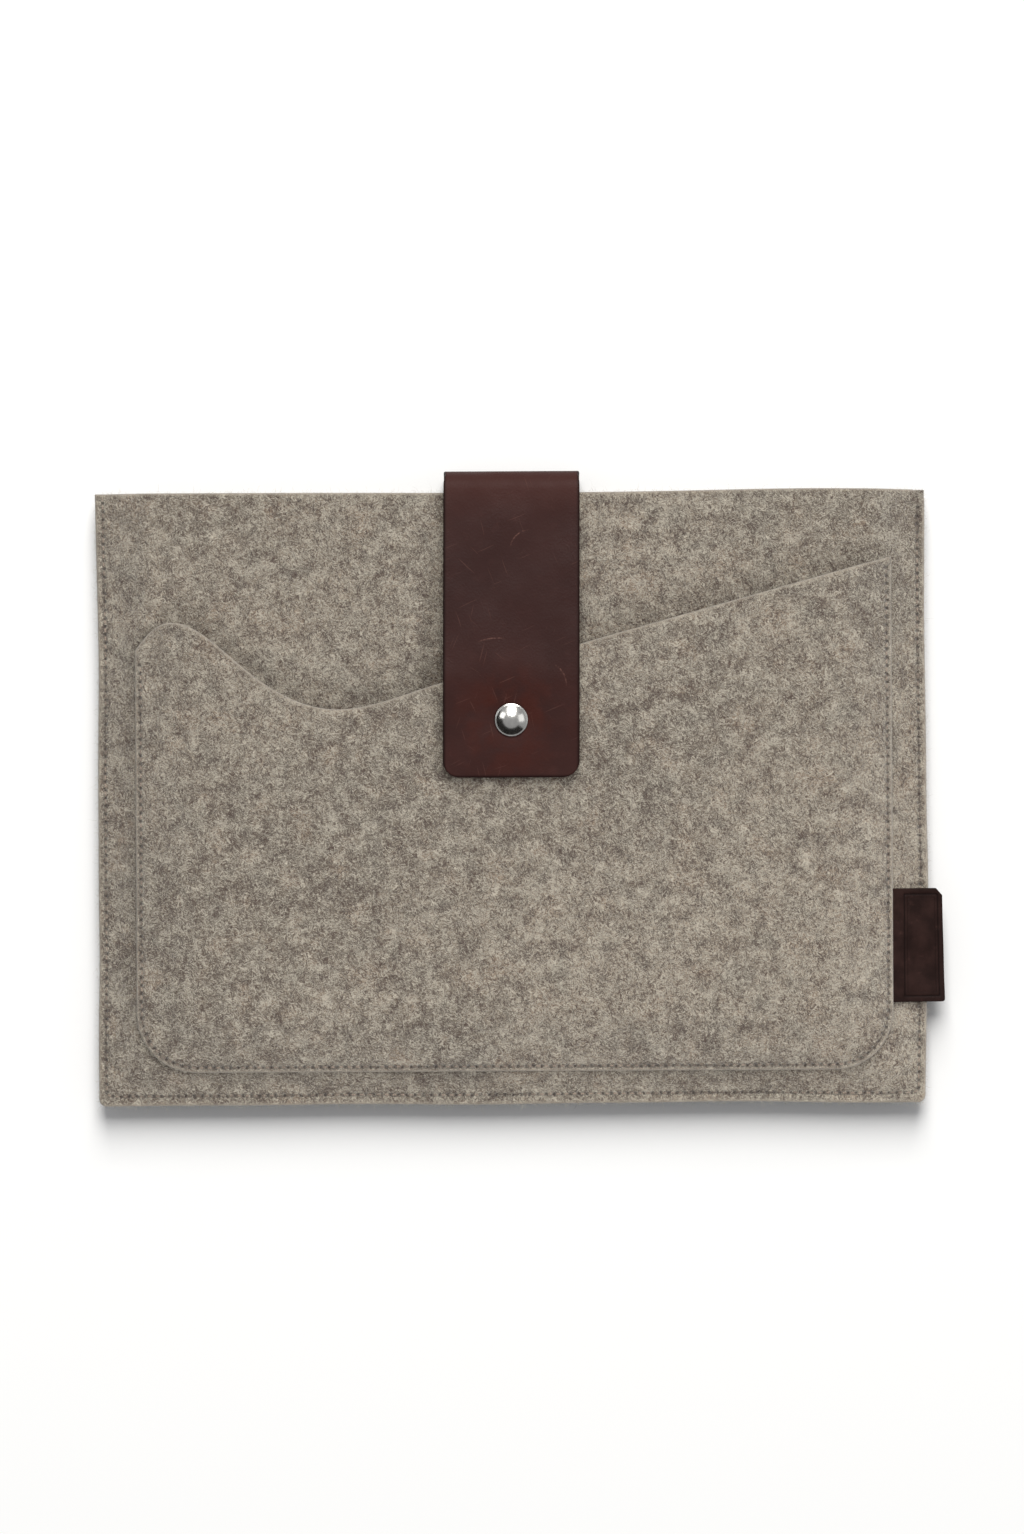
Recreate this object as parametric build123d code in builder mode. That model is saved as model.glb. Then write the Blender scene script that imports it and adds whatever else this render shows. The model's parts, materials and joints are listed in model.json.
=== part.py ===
from build123d import *
import os
from math import atan, cos, degrees, radians, sin, tan

# A felt laptop sleeve that lies on its back, filled out as if a thin laptop were inside.
# X runs across the front, Y towards the mouth, Z up through the thickness. The origin is
# the middle of the back, on the face that the sleeve rests on. Everything is in millimetres.

# Felt panels
WIDTH = 350.0
HEIGHT = 258.0
FELT = 3.0
LAPTOP_SPACE = 14.0
SEAM_MARGIN = 4.5  # flat border where the two panels are sewn together
SLOPE_RUN = 17.0  # width of the slope from the sewn border up to the flat field
LOWER_CORNER_R = 3.0
CLIPPED_CORNER = 4.0  # the front panel's upper right corner is cut off

# Patch pocket
POCKET_LEFT = -158.0
POCKET_RIGHT = 160.0
POCKET_BOTTOM = -114.5
POCKET_CORNER_R = 25.0
POCKET_LEFT_TOP = 62.7
POCKET_RIGHT_TOP = 100.8
POCKET_GAP = 5.0
POCKET_EDGE_SLOPE = 15.5  # degrees, of the straight part of the upper edge
POCKET_EDGE_HUMP = (-143.0, 74.4)
POCKET_EDGE_MIDWAY = (-111.0, 54.0)
POCKET_EDGE_DIP = (-73.0, 37.6)
POCKET_EDGE_STRAIGHT = (-29.0, 48.6)  # from here the upper edge is straight

# Thread
THREAD_WIDTH = 0.8
THREAD_HEIGHT = 0.4
SEAM_STITCH_INSET = 3.0
LOWER_STITCH_INSET = 4.0
POCKET_STITCH_INSET = 1.9
STITCH_END_GAP = 3.0  # a row of stitches starts this far below the edge that it runs up to
GROOVE_CLEARANCE = 0.1  # height of the tail's stitches above the surface below

# Strap
STRAP_WIDTH = 57.0
STRAP = 2.0
STRAP_END_Y = 9.0
STRAP_END_R = 7.0
STRAP_OUT_Y = 138.0  # outermost face of the fold round the mouth
STRAP_FOLD_R = 9.0
STRAP_BEND_Y = 52.0  # here the strap turns level above the pocket
STRAP_BEND_R = 60.0
STRAP_AT_MOUTH_Z = 23.1  # upper face of the strap above the mouth
STRAP_SPLIT_Z = 11.5  # level of the bend line, where fixed and moving leather part
STRAP_SEWN_Y = 69.0  # lower end of the sewn tail
STRAP_STITCH_INSET = 3.0
BODY_GAP = 0.3  # between leather on the two sides of a bend line

# Snap fastener, all parts round about one upright axis
SNAP_Y = 33.0
CAP_R = 7.0
CAP_HEIGHT = 2.9
CAP_RIM = 1.0  # height of the cap's upright rim, below the dome
CAP_SHEET = 0.5
SOCKET_R = 6.3
SOCKET_HEIGHT = 3.6
SOCKET_CHAMBER_R = 5.3
SOCKET_BORE_R = 3.45
SPRING_WIRE_R = 0.3
KNOB_R = 2.9
KNOB_NECK_R = 2.5
STUD_FLANGE_R = 5.3
STUD_FLANGE = 0.8
STUD_HEIGHT = 3.3
STUD_SUNK = 1.0  # depth that the stud presses into the pocket's felt
SOCKET_LIFT = 0.3  # clear height between the pocket and the closed socket
EYELET_R = 1.8
EYELET_FLANGE_R = 5.0
RIVET_WALL = 0.6
RIVET_FLARE = 0.5  # thickness of a tube's rolled end
SOCKET_PLATE = 0.7
POST_R = 2.1
POST_FLANGE_R = 5.8
POST_FLANGE = 0.4
PRESSED = 0.3  # depth that the cap and the socket press into the leather

# Tab at the right side
TAB = 1.5
TAB_TOP_Y = -38.7
TAB_BOTTOM_Y = -86.4
TAB_OUT_X = 182.2
TAB_SEWN_X = 154.0
TAB_ROOT_X = 162.0
TAB_CLEARANCE = 0.3
TAB_END_LIFT = 0.75  # height of the tab above the sewn border at the sleeve's edge
TAB_CLIP = 3.0
TAB_ROUND = 1.2

# Derived levels and places
SEAM_Z = FELT + LAPTOP_SPACE / 2
FRONT_Z = 2 * FELT + LAPTOP_SPACE
POCKET_UNDER_Z = FRONT_Z + POCKET_GAP
POCKET_Z = POCKET_UNDER_Z + FELT
STRAP_UNDER_Z = POCKET_Z + SOCKET_LIFT + SOCKET_HEIGHT - PRESSED
STRAP_TOP_Z = STRAP_UNDER_Z + STRAP
RISE = LAPTOP_SPACE / 2
MOUTH_Y = HEIGHT / 2
SIDE_X = WIDTH / 2 - SEAM_MARGIN
LOWER_Y = -HEIGHT / 2 + SEAM_MARGIN
POCKET_SIDE_X = SIDE_X - SLOPE_RUN - 1
POCKET_LOWER_Y = LOWER_Y + SLOPE_RUN + 1
TAIL_LENGTH = MOUTH_Y - STRAP_SEWN_Y
STRAP_SLOPE = (STRAP_TOP_Z - STRAP_AT_MOUTH_Z) / (MOUTH_Y - STRAP_BEND_Y)
STRAP_CORNER_Z = STRAP_AT_MOUTH_Z - STRAP_SLOPE * (STRAP_OUT_Y - MOUTH_Y)
CAP_Z = STRAP_TOP_Z - PRESSED
DOME_RISE = CAP_HEIGHT - CAP_RIM
DOME_R = (CAP_R**2 + DOME_RISE**2) / (2 * DOME_RISE)
SOCKET_Z = POCKET_Z + SOCKET_LIFT
SOCKET_TOP_Z = SOCKET_Z + SOCKET_HEIGHT
SPRING_R = KNOB_R + SPRING_WIRE_R + 0.25
SPRING_BEND_Y = SNAP_Y + 1.1
SPRING_END_Y = SNAP_Y - 2.9
SPRING_Z = SOCKET_Z + SOCKET_PLATE + 2 * SPRING_WIRE_R
STUD_Z = POCKET_Z - STUD_SUNK
STUD_TOP_Z = STUD_Z + STUD_HEIGHT
TAB_HEIGHT = TAB_TOP_Y - TAB_BOTTOM_Y
TAB_MIDDLE_Y = (TAB_TOP_Y + TAB_BOTTOM_Y) / 2
SLOPE = atan(RISE / SLOPE_RUN)
TAB_SEWN_Z = SEAM_Z + FELT + (SIDE_X - TAB_SEWN_X) * tan(SLOPE)
TAB_FIXED_RUN = TAB_ROOT_X - BODY_GAP - TAB_SEWN_X
TAB_ROOT_Z = SEAM_Z + FELT + (SIDE_X - TAB_ROOT_X) * tan(SLOPE) + TAB_CLEARANCE
TAB_DROP = atan((TAB_ROOT_Z - SEAM_Z - FELT - TAB_END_LIFT) / (WIDTH / 2 - TAB_ROOT_X))
TAB_LENGTH = (TAB_OUT_X - TAB_ROOT_X) / cos(TAB_DROP)
OVERSHOOT = 40.0  # forms run this far past the mouth before they are cut off
TALL = 60.0  # height of a blank that is cut down to a curved piece

os.makedirs("parts", exist_ok=True)


def rise(base_z, top_z, side_x, lower_y):
    """A solid between two levels that slopes in at the sides and runs on past the mouth."""
    with BuildPart() as form:
        for z, inset in ((base_z, 0), (top_z, SLOPE_RUN)):
            upper_y = MOUTH_Y + OVERSHOOT - inset
            with BuildSketch(Plane.XY.offset(z)):
                with Locations((0, (lower_y + inset + upper_y) / 2)):
                    Rectangle(2 * (side_x - inset), upper_y - lower_y - inset)
        loft(ruled=True)
    return form.part


def panel_blank(z, height, clipped):
    """A tall block with the panels' outline, its front upper corner clipped or left square."""
    with BuildPart() as blank:
        with BuildSketch(Plane.XY.offset(z)) as outline:
            Rectangle(WIDTH, HEIGHT)
            fillet(outline.vertices().group_by(Axis.Y)[0], LOWER_CORNER_R)
            if clipped:
                corner = outline.vertices().group_by(Axis.Y)[-1].sort_by(Axis.X)[-1]
                chamfer(corner, CLIPPED_CORNER)
        extrude(amount=height)
    return blank.part


def thread_blank(left, right, bottom, corner_r, left_top, right_top):
    """A tall thin wall along a row of stitches down the left, along the bottom and up."""
    with BuildPart() as blank:
        with BuildSketch():
            with BuildLine():
                FilletPolyline(
                    (left, left_top), (left, bottom), (right, bottom), (right, right_top),
                    radius=corner_r,
                )
            trace(line_width=THREAD_WIDTH)
        extrude(amount=TALL)
    return blank.part


def stitch_box(z, height):
    """The square row of stitches that holds the strap's tail, between two levels."""
    length = MOUTH_Y - STRAP_SEWN_Y - 2 * STRAP_STITCH_INSET
    width = STRAP_WIDTH - 2 * STRAP_STITCH_INSET
    with BuildPart() as row:
        with BuildSketch(Plane.XY.offset(z)):
            with Locations((0, (STRAP_SEWN_Y + MOUTH_Y) / 2)):
                Rectangle(width, length)
                Rectangle(width - 2 * THREAD_WIDTH, length - 2 * THREAD_WIDTH, mode=Mode.SUBTRACT)
        extrude(amount=height)
    return row.part


def turned(*outline):
    """A round metal piece about the snap's axis, from its outline as radius and height."""
    with BuildPart() as piece:
        with BuildSketch(Plane(origin=(0, SNAP_Y, 0), x_dir=(1, 0, 0), z_dir=(0, -1, 0))):
            with BuildLine():
                Polyline(*outline, close=True)
            make_face()
        revolve(axis=Axis((0, SNAP_Y, 0), (0, 0, 1)))
    return piece.part


def layer(z):
    """A sheet as thick as the thread, larger than the sleeve."""
    with BuildPart() as sheet:
        with BuildSketch(Plane.XY.offset(z)):
            Rectangle(2 * WIDTH, 2 * HEIGHT)
        extrude(amount=THREAD_HEIGHT)
    return sheet.part


# Forms that several pieces share. The front form is the front panel filled up solid, and
# the pocket form is the pocket filled up solid.
front_hollow = rise(SEAM_Z, SEAM_Z + RISE, SIDE_X, LOWER_Y)
back_hollow = rise(SEAM_Z, SEAM_Z - RISE, SIDE_X, LOWER_Y)
front_slope = rise(SEAM_Z + FELT, FRONT_Z, SIDE_X, LOWER_Y)
back_slope = rise(SEAM_Z - FELT, 0, SIDE_X, LOWER_Y)
pocket_hollow = rise(FRONT_Z, POCKET_UNDER_Z, POCKET_SIDE_X, POCKET_LOWER_Y)
pocket_bulge = rise(FRONT_Z + FELT, POCKET_Z, POCKET_SIDE_X, POCKET_LOWER_Y)

pocket_slope = Pos(0, 0, FELT) * front_slope
low_block = panel_blank(0, SEAM_Z + FELT, False)
pocket_block = panel_blank(0, SEAM_Z + 2 * FELT, False)

with BuildPart() as front_form:
    add(low_block)
    add(front_slope)

with BuildPart() as pocket_form:
    add(pocket_block)
    add(pocket_slope)
    add(pocket_bulge)

# Front panel: a sewn border, a slope on three sides and a flat field up to the mouth.
front_border = panel_blank(SEAM_Z, FELT, False)
front_trim = panel_blank(SEAM_Z, TALL, True)
with BuildPart() as front_panel:
    add(front_border)
    add(front_slope)
    add(front_hollow, mode=Mode.SUBTRACT)
    add(front_trim, mode=Mode.INTERSECT)
front_panel.part.label = "front_panel"
export_step(front_panel.part, "parts/front_panel.step")

# Back panel: as the front panel, upside down. It rises over the strap's tail, which lies in
# a hollow on its outer face, and a groove on its inner face takes the tail's stitches.
back_border = panel_blank(SEAM_Z - FELT, FELT, False)
back_trim = panel_blank(0, TALL, False)
inside_row = stitch_box(FELT + STRAP - THREAD_HEIGHT, THREAD_HEIGHT)
with BuildPart() as tail_rise:
    for z, reach in ((FELT, 2 * FELT), (FELT + STRAP, FELT)):
        with BuildSketch(Plane.XY.offset(z)):
            with Locations((0, MOUTH_Y - TAIL_LENGTH / 2)):
                Rectangle(STRAP_WIDTH + 2 * reach, TAIL_LENGTH + 2 * reach)
    loft(ruled=True)
with BuildPart() as back_panel:
    add(back_border)
    add(back_slope)
    add(back_hollow, mode=Mode.SUBTRACT)
    add(tail_rise.part)
    with BuildSketch(Plane.XY):
        with Locations((0, MOUTH_Y + OVERSHOOT / 2 - TAIL_LENGTH / 2)):
            Rectangle(STRAP_WIDTH, TAIL_LENGTH + OVERSHOOT)
    extrude(amount=STRAP, mode=Mode.SUBTRACT)
    add(inside_row, mode=Mode.SUBTRACT)
    add(back_trim, mode=Mode.INTERSECT)
back_panel.part.label = "back_panel"
export_step(back_panel.part, "parts/back_panel.step")

# Strap tail: the sewn end on the back, and the lower half of the fold round the mouth. Its
# stitches lie in a groove, clear of the surface that the sleeve rests on.
tail_groove = stitch_box(0, THREAD_HEIGHT + GROOVE_CLEARANCE)
with BuildPart() as strap_tail:
    with BuildSketch(Plane.YZ):
        with BuildLine():
            FilletPolyline(
                (STRAP_SEWN_Y, 0), (STRAP_OUT_Y, 0), (STRAP_OUT_Y, STRAP_SPLIT_Z - BODY_GAP / 2),
                radius=STRAP_FOLD_R,
            )
            offset(amount=STRAP, side=Side.LEFT)
        make_face()
    extrude(amount=STRAP_WIDTH / 2, both=True)
    add(tail_groove, mode=Mode.SUBTRACT)
strap_tail.part.label = "strap_tail"
export_step(strap_tail.part, "parts/strap_tail.step")

outside_row = stitch_box(GROOVE_CLEARANCE, THREAD_HEIGHT)
with BuildPart() as strap_thread_back:
    add(outside_row)
strap_thread_back.part.label = "strap_thread_back"
export_step(strap_thread_back.part, "parts/strap_thread_back.step")

with BuildPart() as strap_thread_inside:
    add(inside_row)
strap_thread_inside.part.label = "strap_thread_inside"
export_step(strap_thread_inside.part, "parts/strap_thread_inside.step")

# Strap flap: the upper half of the fold, a run that climbs from the mouth to the pocket and
# a level end with rounded corners. Cap and socket press a little into the leather.
with BuildPart() as strap_flap:
    with BuildSketch(Plane.YZ):
        with BuildLine():
            FilletPolyline(
                (STRAP_OUT_Y, STRAP_SPLIT_Z + BODY_GAP / 2), (STRAP_OUT_Y, STRAP_CORNER_Z),
                (STRAP_BEND_Y, STRAP_TOP_Z), (STRAP_END_Y, STRAP_TOP_Z),
                radius=(STRAP_FOLD_R, STRAP_BEND_R),
            )
            offset(amount=STRAP, side=Side.LEFT)
        make_face()
    extrude(amount=STRAP_WIDTH / 2, both=True)
    fillet(strap_flap.edges().filter_by(Axis.Z).group_by(Axis.Y)[0], STRAP_END_R)
    with BuildSketch(Plane.XY.offset(STRAP_TOP_Z)):
        with Locations((0, SNAP_Y)):
            Circle(CAP_R)
    extrude(amount=-PRESSED, mode=Mode.SUBTRACT)
    with BuildSketch(Plane.XY.offset(STRAP_UNDER_Z)):
        with Locations((0, SNAP_Y)):
            Circle(SOCKET_R)
    extrude(amount=PRESSED, mode=Mode.SUBTRACT)
    with Locations((0, SNAP_Y, STRAP_TOP_Z)):
        Hole(POST_R)
strap_flap.part.label = "strap_flap"
export_step(strap_flap.part, "parts/strap_flap.step")

# Snap cap: a thin dome whose lower rim is curled in under the post's flange.
with BuildPart() as snap_cap:
    with BuildSketch(Plane(origin=(0, SNAP_Y, CAP_Z), x_dir=(1, 0, 0), z_dir=(0, -1, 0))):
        with BuildLine():
            Polyline((0, CAP_HEIGHT), (0, 0), (CAP_R, 0), (CAP_R, CAP_RIM))
            RadiusArc((CAP_R, CAP_RIM), (0, CAP_HEIGHT), -DOME_R)
        make_face()
    revolve(axis=Axis((0, SNAP_Y, 0), (0, 0, 1)))
    offset(amount=-CAP_SHEET, openings=snap_cap.faces().sort_by(Axis.Z)[0])
    with BuildSketch(Plane.XY.offset(CAP_Z)):
        with Locations((0, SNAP_Y)):
            Circle(CAP_R)
            Circle(CAP_R - 3 * CAP_SHEET, mode=Mode.SUBTRACT)
    extrude(amount=CAP_SHEET)
snap_cap.part.label = "snap_cap"
export_step(snap_cap.part, "parts/snap_cap.step")

# Snap cap post: a flange inside the dome and a tube through the leather, flared out below
# the socket's upper plate.
flange_z = CAP_Z + CAP_SHEET
flare_z = SOCKET_TOP_Z - SOCKET_PLATE
post_form = turned(
    (POST_R - RIVET_WALL, flange_z + POST_FLANGE), (POST_FLANGE_R, flange_z + POST_FLANGE),
    (POST_FLANGE_R, flange_z), (POST_R, flange_z), (POST_R, flare_z),
    (POST_R + RIVET_WALL, flare_z), (POST_R + RIVET_WALL, flare_z - RIVET_FLARE),
    (POST_R - RIVET_WALL, flare_z - RIVET_FLARE),
)
with BuildPart() as snap_cap_post:
    add(post_form)
snap_cap_post.part.label = "snap_cap_post"
export_step(snap_cap_post.part, "parts/snap_cap_post.step")

# Snap socket: a can with a round chamber for the spring and a bore for the stud's knob.
socket_form = turned(
    (SOCKET_BORE_R, SOCKET_Z), (SOCKET_R, SOCKET_Z), (SOCKET_R, SOCKET_TOP_Z),
    (POST_R, SOCKET_TOP_Z), (POST_R, SOCKET_TOP_Z - SOCKET_PLATE),
    (SOCKET_CHAMBER_R, SOCKET_TOP_Z - SOCKET_PLATE),
    (SOCKET_CHAMBER_R, SOCKET_Z + SOCKET_PLATE), (SOCKET_BORE_R, SOCKET_Z + SOCKET_PLATE),
)
with BuildPart() as snap_socket:
    add(socket_form)
snap_socket.part.label = "snap_socket"
export_step(snap_socket.part, "parts/snap_socket.step")

# Snap spring: a wire bent to a U whose two legs run past the stud's knob.
with BuildPart() as snap_spring:
    with BuildLine(Plane.XY.offset(SPRING_Z)) as wire:
        Line((-SPRING_R, SPRING_END_Y), (-SPRING_R, SPRING_BEND_Y))
        RadiusArc((-SPRING_R, SPRING_BEND_Y), (SPRING_R, SPRING_BEND_Y), SPRING_R)
        Line((SPRING_R, SPRING_BEND_Y), (SPRING_R, SPRING_END_Y))
    with BuildSketch(Plane((-SPRING_R, SPRING_END_Y, SPRING_Z), z_dir=(0, 1, 0))):
        Circle(SPRING_WIRE_R)
    sweep(path=wire.wire())
snap_spring.part.label = "snap_spring"
export_step(snap_spring.part, "parts/snap_spring.step")

# Snap stud: a flange sunk in the pocket's felt and a hollow knob with a waist.
neck_z = STUD_Z + STUD_FLANGE
stud_form = turned(
    (EYELET_R, STUD_Z), (STUD_FLANGE_R, STUD_Z), (STUD_FLANGE_R, neck_z - 0.2),
    (KNOB_R + 0.6, neck_z), (KNOB_NECK_R, neck_z), (KNOB_NECK_R, neck_z + 0.8),
    (KNOB_R, neck_z + 1.3), (KNOB_R, STUD_TOP_Z - 0.7), (KNOB_NECK_R, STUD_TOP_Z),
    (EYELET_R + 0.4, STUD_TOP_Z), (EYELET_R + 0.4, STUD_TOP_Z - RIVET_FLARE),
    (EYELET_R, STUD_TOP_Z - RIVET_FLARE),
)
with BuildPart() as snap_stud:
    add(stud_form)
snap_stud.part.label = "snap_stud"
export_step(snap_stud.part, "parts/snap_stud.step")

# Snap eyelet: a flange inside the pocket and a tube through the felt, flared in the knob.
bore_r = EYELET_R - RIVET_WALL
eyelet_form = turned(
    (bore_r, POCKET_UNDER_Z - RIVET_WALL), (EYELET_FLANGE_R, POCKET_UNDER_Z - RIVET_WALL),
    (EYELET_FLANGE_R, POCKET_UNDER_Z), (EYELET_R, POCKET_UNDER_Z),
    (EYELET_R, STUD_TOP_Z - RIVET_FLARE), (EYELET_R + 0.4, STUD_TOP_Z - RIVET_FLARE),
    (EYELET_R + 0.4, STUD_TOP_Z - 0.1), (bore_r, STUD_TOP_Z - 0.1),
)
with BuildPart() as snap_eyelet:
    add(eyelet_form)
snap_eyelet.part.label = "snap_eyelet"
export_step(snap_eyelet.part, "parts/snap_eyelet.step")

# Tab: its sewn end lies on the front panel's slope, under the pocket's edge. The free end
# leaves the slope at the bend line and passes over the sewn border.

def tab_plane(x, z, drop):
    """Plane in the tab's lower face, with local x outwards down the slope."""
    return Plane(
        origin=(x, TAB_MIDDLE_Y, z), x_dir=(cos(drop), 0, -sin(drop)),
        z_dir=(sin(drop), 0, cos(drop)),
    )


with BuildPart() as label_tuck:
    with BuildSketch(tab_plane(TAB_SEWN_X, TAB_SEWN_Z, SLOPE)):
        Rectangle(TAB_FIXED_RUN / cos(SLOPE), TAB_HEIGHT, align=(Align.MIN, Align.CENTER))
    extrude(amount=TAB)
label_tuck.part.label = "label_tuck"
export_step(label_tuck.part, "parts/label_tuck.step")

with BuildPart() as label_flap:
    with BuildSketch(tab_plane(TAB_ROOT_X, TAB_ROOT_Z, TAB_DROP)) as outline:
        Rectangle(TAB_LENGTH, TAB_HEIGHT, align=(Align.MIN, Align.CENTER))
        free_corners = outline.vertices().group_by(Axis.X)[-1].sort_by(Axis.Y)
        fillet(free_corners[0], TAB_ROUND)
        chamfer(free_corners[-1], TAB_CLIP)
    extrude(amount=TAB)
label_flap.part.label = "label_flap"
export_step(label_flap.part, "parts/label_flap.step")

# Pocket: a panel sewn on at the left, bottom and right. Its upper edge has a hump at the
# left and a dip, and then climbs straight to the right.
edge_direction = (cos(radians(POCKET_EDGE_SLOPE)), sin(radians(POCKET_EDGE_SLOPE)))
with BuildPart() as front_pocket:
    with BuildSketch():
        with BuildLine():
            wave = Spline(
                (POCKET_LEFT, POCKET_LEFT_TOP), POCKET_EDGE_HUMP, POCKET_EDGE_MIDWAY,
                POCKET_EDGE_DIP, POCKET_EDGE_STRAIGHT,
                tangents=((0.7, 0.7), edge_direction), tangent_scalars=(1, 1),
            )
            Line(wave @ 1, (POCKET_RIGHT, POCKET_RIGHT_TOP))
            FilletPolyline(
                (POCKET_RIGHT, POCKET_RIGHT_TOP), (POCKET_RIGHT, POCKET_BOTTOM),
                (POCKET_LEFT, POCKET_BOTTOM), (POCKET_LEFT, POCKET_LEFT_TOP),
                radius=POCKET_CORNER_R,
            )
        make_face()
    extrude(amount=TALL)
    add(pocket_form.part, mode=Mode.INTERSECT)
    add(front_form.part, mode=Mode.SUBTRACT)
    add(pocket_hollow, mode=Mode.SUBTRACT)
    add(label_tuck.part, mode=Mode.SUBTRACT)
    with BuildSketch(Plane.XY.offset(POCKET_Z)):
        with Locations((0, SNAP_Y)):
            Circle(STUD_FLANGE_R)
    extrude(amount=-STUD_SUNK, mode=Mode.SUBTRACT)
    with BuildSketch(Plane.XY.offset(POCKET_Z)):
        with Locations((0, SNAP_Y)):
            Circle(EYELET_R)
    extrude(amount=-2 * FELT, mode=Mode.SUBTRACT)
front_pocket.part.label = "front_pocket"
export_step(front_pocket.part, "parts/front_pocket.step")

# Seam thread: one lockstitched row down the left side, along the bottom and up the right,
# seen on both faces of the sewn border.
seam_wall = thread_blank(
    -WIDTH / 2 + SEAM_STITCH_INSET, WIDTH / 2 - SEAM_STITCH_INSET,
    -HEIGHT / 2 + LOWER_STITCH_INSET, LOWER_CORNER_R,
    MOUTH_Y - STITCH_END_GAP, MOUTH_Y - CLIPPED_CORNER - STITCH_END_GAP,
)
seam_front_layer = layer(SEAM_Z + FELT)
seam_back_layer = layer(SEAM_Z - FELT - THREAD_HEIGHT)
with BuildPart() as seam_thread_front:
    add(seam_wall)
    add(seam_front_layer, mode=Mode.INTERSECT)
seam_thread_front.part.label = "seam_thread_front"
export_step(seam_thread_front.part, "parts/seam_thread_front.step")

with BuildPart() as seam_thread_back:
    add(seam_wall)
    add(seam_back_layer, mode=Mode.INTERSECT)
seam_thread_back.part.label = "seam_thread_back"
export_step(seam_thread_back.part, "parts/seam_thread_back.step")

# Pocket thread: one lockstitched row along the pocket's sewn edges. It follows the slope,
# on the pocket and inside the sleeve.
pocket_wall = thread_blank(
    POCKET_LEFT + POCKET_STITCH_INSET, POCKET_RIGHT - POCKET_STITCH_INSET,
    POCKET_BOTTOM + POCKET_STITCH_INSET, POCKET_CORNER_R - POCKET_STITCH_INSET,
    POCKET_LEFT_TOP - STITCH_END_GAP, POCKET_RIGHT_TOP - STITCH_END_GAP,
)

thicker_pocket = Pos(0, 0, THREAD_HEIGHT) * pocket_form.part
lower_hollow = Pos(0, 0, -THREAD_HEIGHT) * front_hollow
with BuildPart() as pocket_thread_front:
    add(pocket_wall)
    add(thicker_pocket, mode=Mode.INTERSECT)
    add(pocket_form.part, mode=Mode.SUBTRACT)
pocket_thread_front.part.label = "pocket_thread_front"
export_step(pocket_thread_front.part, "parts/pocket_thread_front.step")

with BuildPart() as pocket_thread_inside:
    add(pocket_wall)
    add(front_hollow, mode=Mode.INTERSECT)
    add(lower_hollow, mode=Mode.SUBTRACT)
pocket_thread_inside.part.label = "pocket_thread_inside"
export_step(pocket_thread_inside.part, "parts/pocket_thread_inside.step")
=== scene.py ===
import json
import math
from collections import namedtuple

import bpy
import numpy as np
from bpy.props import FloatProperty, FloatVectorProperty, IntProperty, PointerProperty
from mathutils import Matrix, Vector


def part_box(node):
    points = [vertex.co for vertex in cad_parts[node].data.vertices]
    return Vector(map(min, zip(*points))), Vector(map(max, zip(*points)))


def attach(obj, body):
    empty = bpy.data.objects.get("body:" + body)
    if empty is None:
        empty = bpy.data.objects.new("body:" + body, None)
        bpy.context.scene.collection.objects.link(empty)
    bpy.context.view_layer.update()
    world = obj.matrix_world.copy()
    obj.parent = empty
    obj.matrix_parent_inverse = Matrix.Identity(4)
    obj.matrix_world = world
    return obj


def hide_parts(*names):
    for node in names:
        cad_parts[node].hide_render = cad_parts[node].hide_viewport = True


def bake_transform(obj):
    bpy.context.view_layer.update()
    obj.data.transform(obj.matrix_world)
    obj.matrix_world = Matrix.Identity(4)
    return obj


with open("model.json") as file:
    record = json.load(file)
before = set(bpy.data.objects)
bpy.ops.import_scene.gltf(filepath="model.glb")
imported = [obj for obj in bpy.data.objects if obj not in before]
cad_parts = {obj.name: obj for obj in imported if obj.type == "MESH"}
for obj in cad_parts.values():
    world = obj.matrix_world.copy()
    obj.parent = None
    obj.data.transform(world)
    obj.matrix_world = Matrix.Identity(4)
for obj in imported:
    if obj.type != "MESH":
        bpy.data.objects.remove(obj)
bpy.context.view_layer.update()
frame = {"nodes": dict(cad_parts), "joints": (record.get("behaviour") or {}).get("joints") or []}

bl_info = {
    "name": "Felt Laptop Sleeve",
    "version": (1, 0, 0),
    "blender": (4, 5, 0),
    "location": "View3D > Sidebar > Sleeve",
    "description": "Builds a felt laptop sleeve with a leather strap around its frame",
    "category": "Add Mesh",
}

MM = 0.001
THREAD_WIDTH = 0.8 * MM


def span(node, margin=0):
    """Lowest and highest corner of a node of the frame, drawn in by a margin, as arrays."""
    low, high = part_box(node)
    return np.array(low) + margin, np.array(high) - margin


# Places and levels that the frame gives
FRONT_LOW, FRONT_HIGH = span("front_panel")
POCKET_LOW, POCKET_HIGH = span("front_pocket")
FLAP_LOW, FLAP_HIGH = span("strap_flap")
TAIL_LOW, TAIL_HIGH = span("strap_tail")
SEAM_ROW_LOW, SEAM_ROW_HIGH = span("seam_thread_front", THREAD_WIDTH / 2)
POCKET_ROW_LOW, POCKET_ROW_HIGH = span("pocket_thread_front", THREAD_WIDTH / 2)
TAIL_ROW_LOW, TAIL_ROW_HIGH = span("strap_thread_back", THREAD_WIDTH / 2)
TAB_LOW, TAB_HIGH = span("label_flap")
TUCK_LOW, _ = span("label_tuck")
CAP_LOW, CAP_HIGH = span("snap_cap")
STRAP_JOINT, TAB_JOINT = (
    next(j for j in frame["joints"] if j["name"] == name) for name in ("strap_fold", "label_bend")
)

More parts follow.
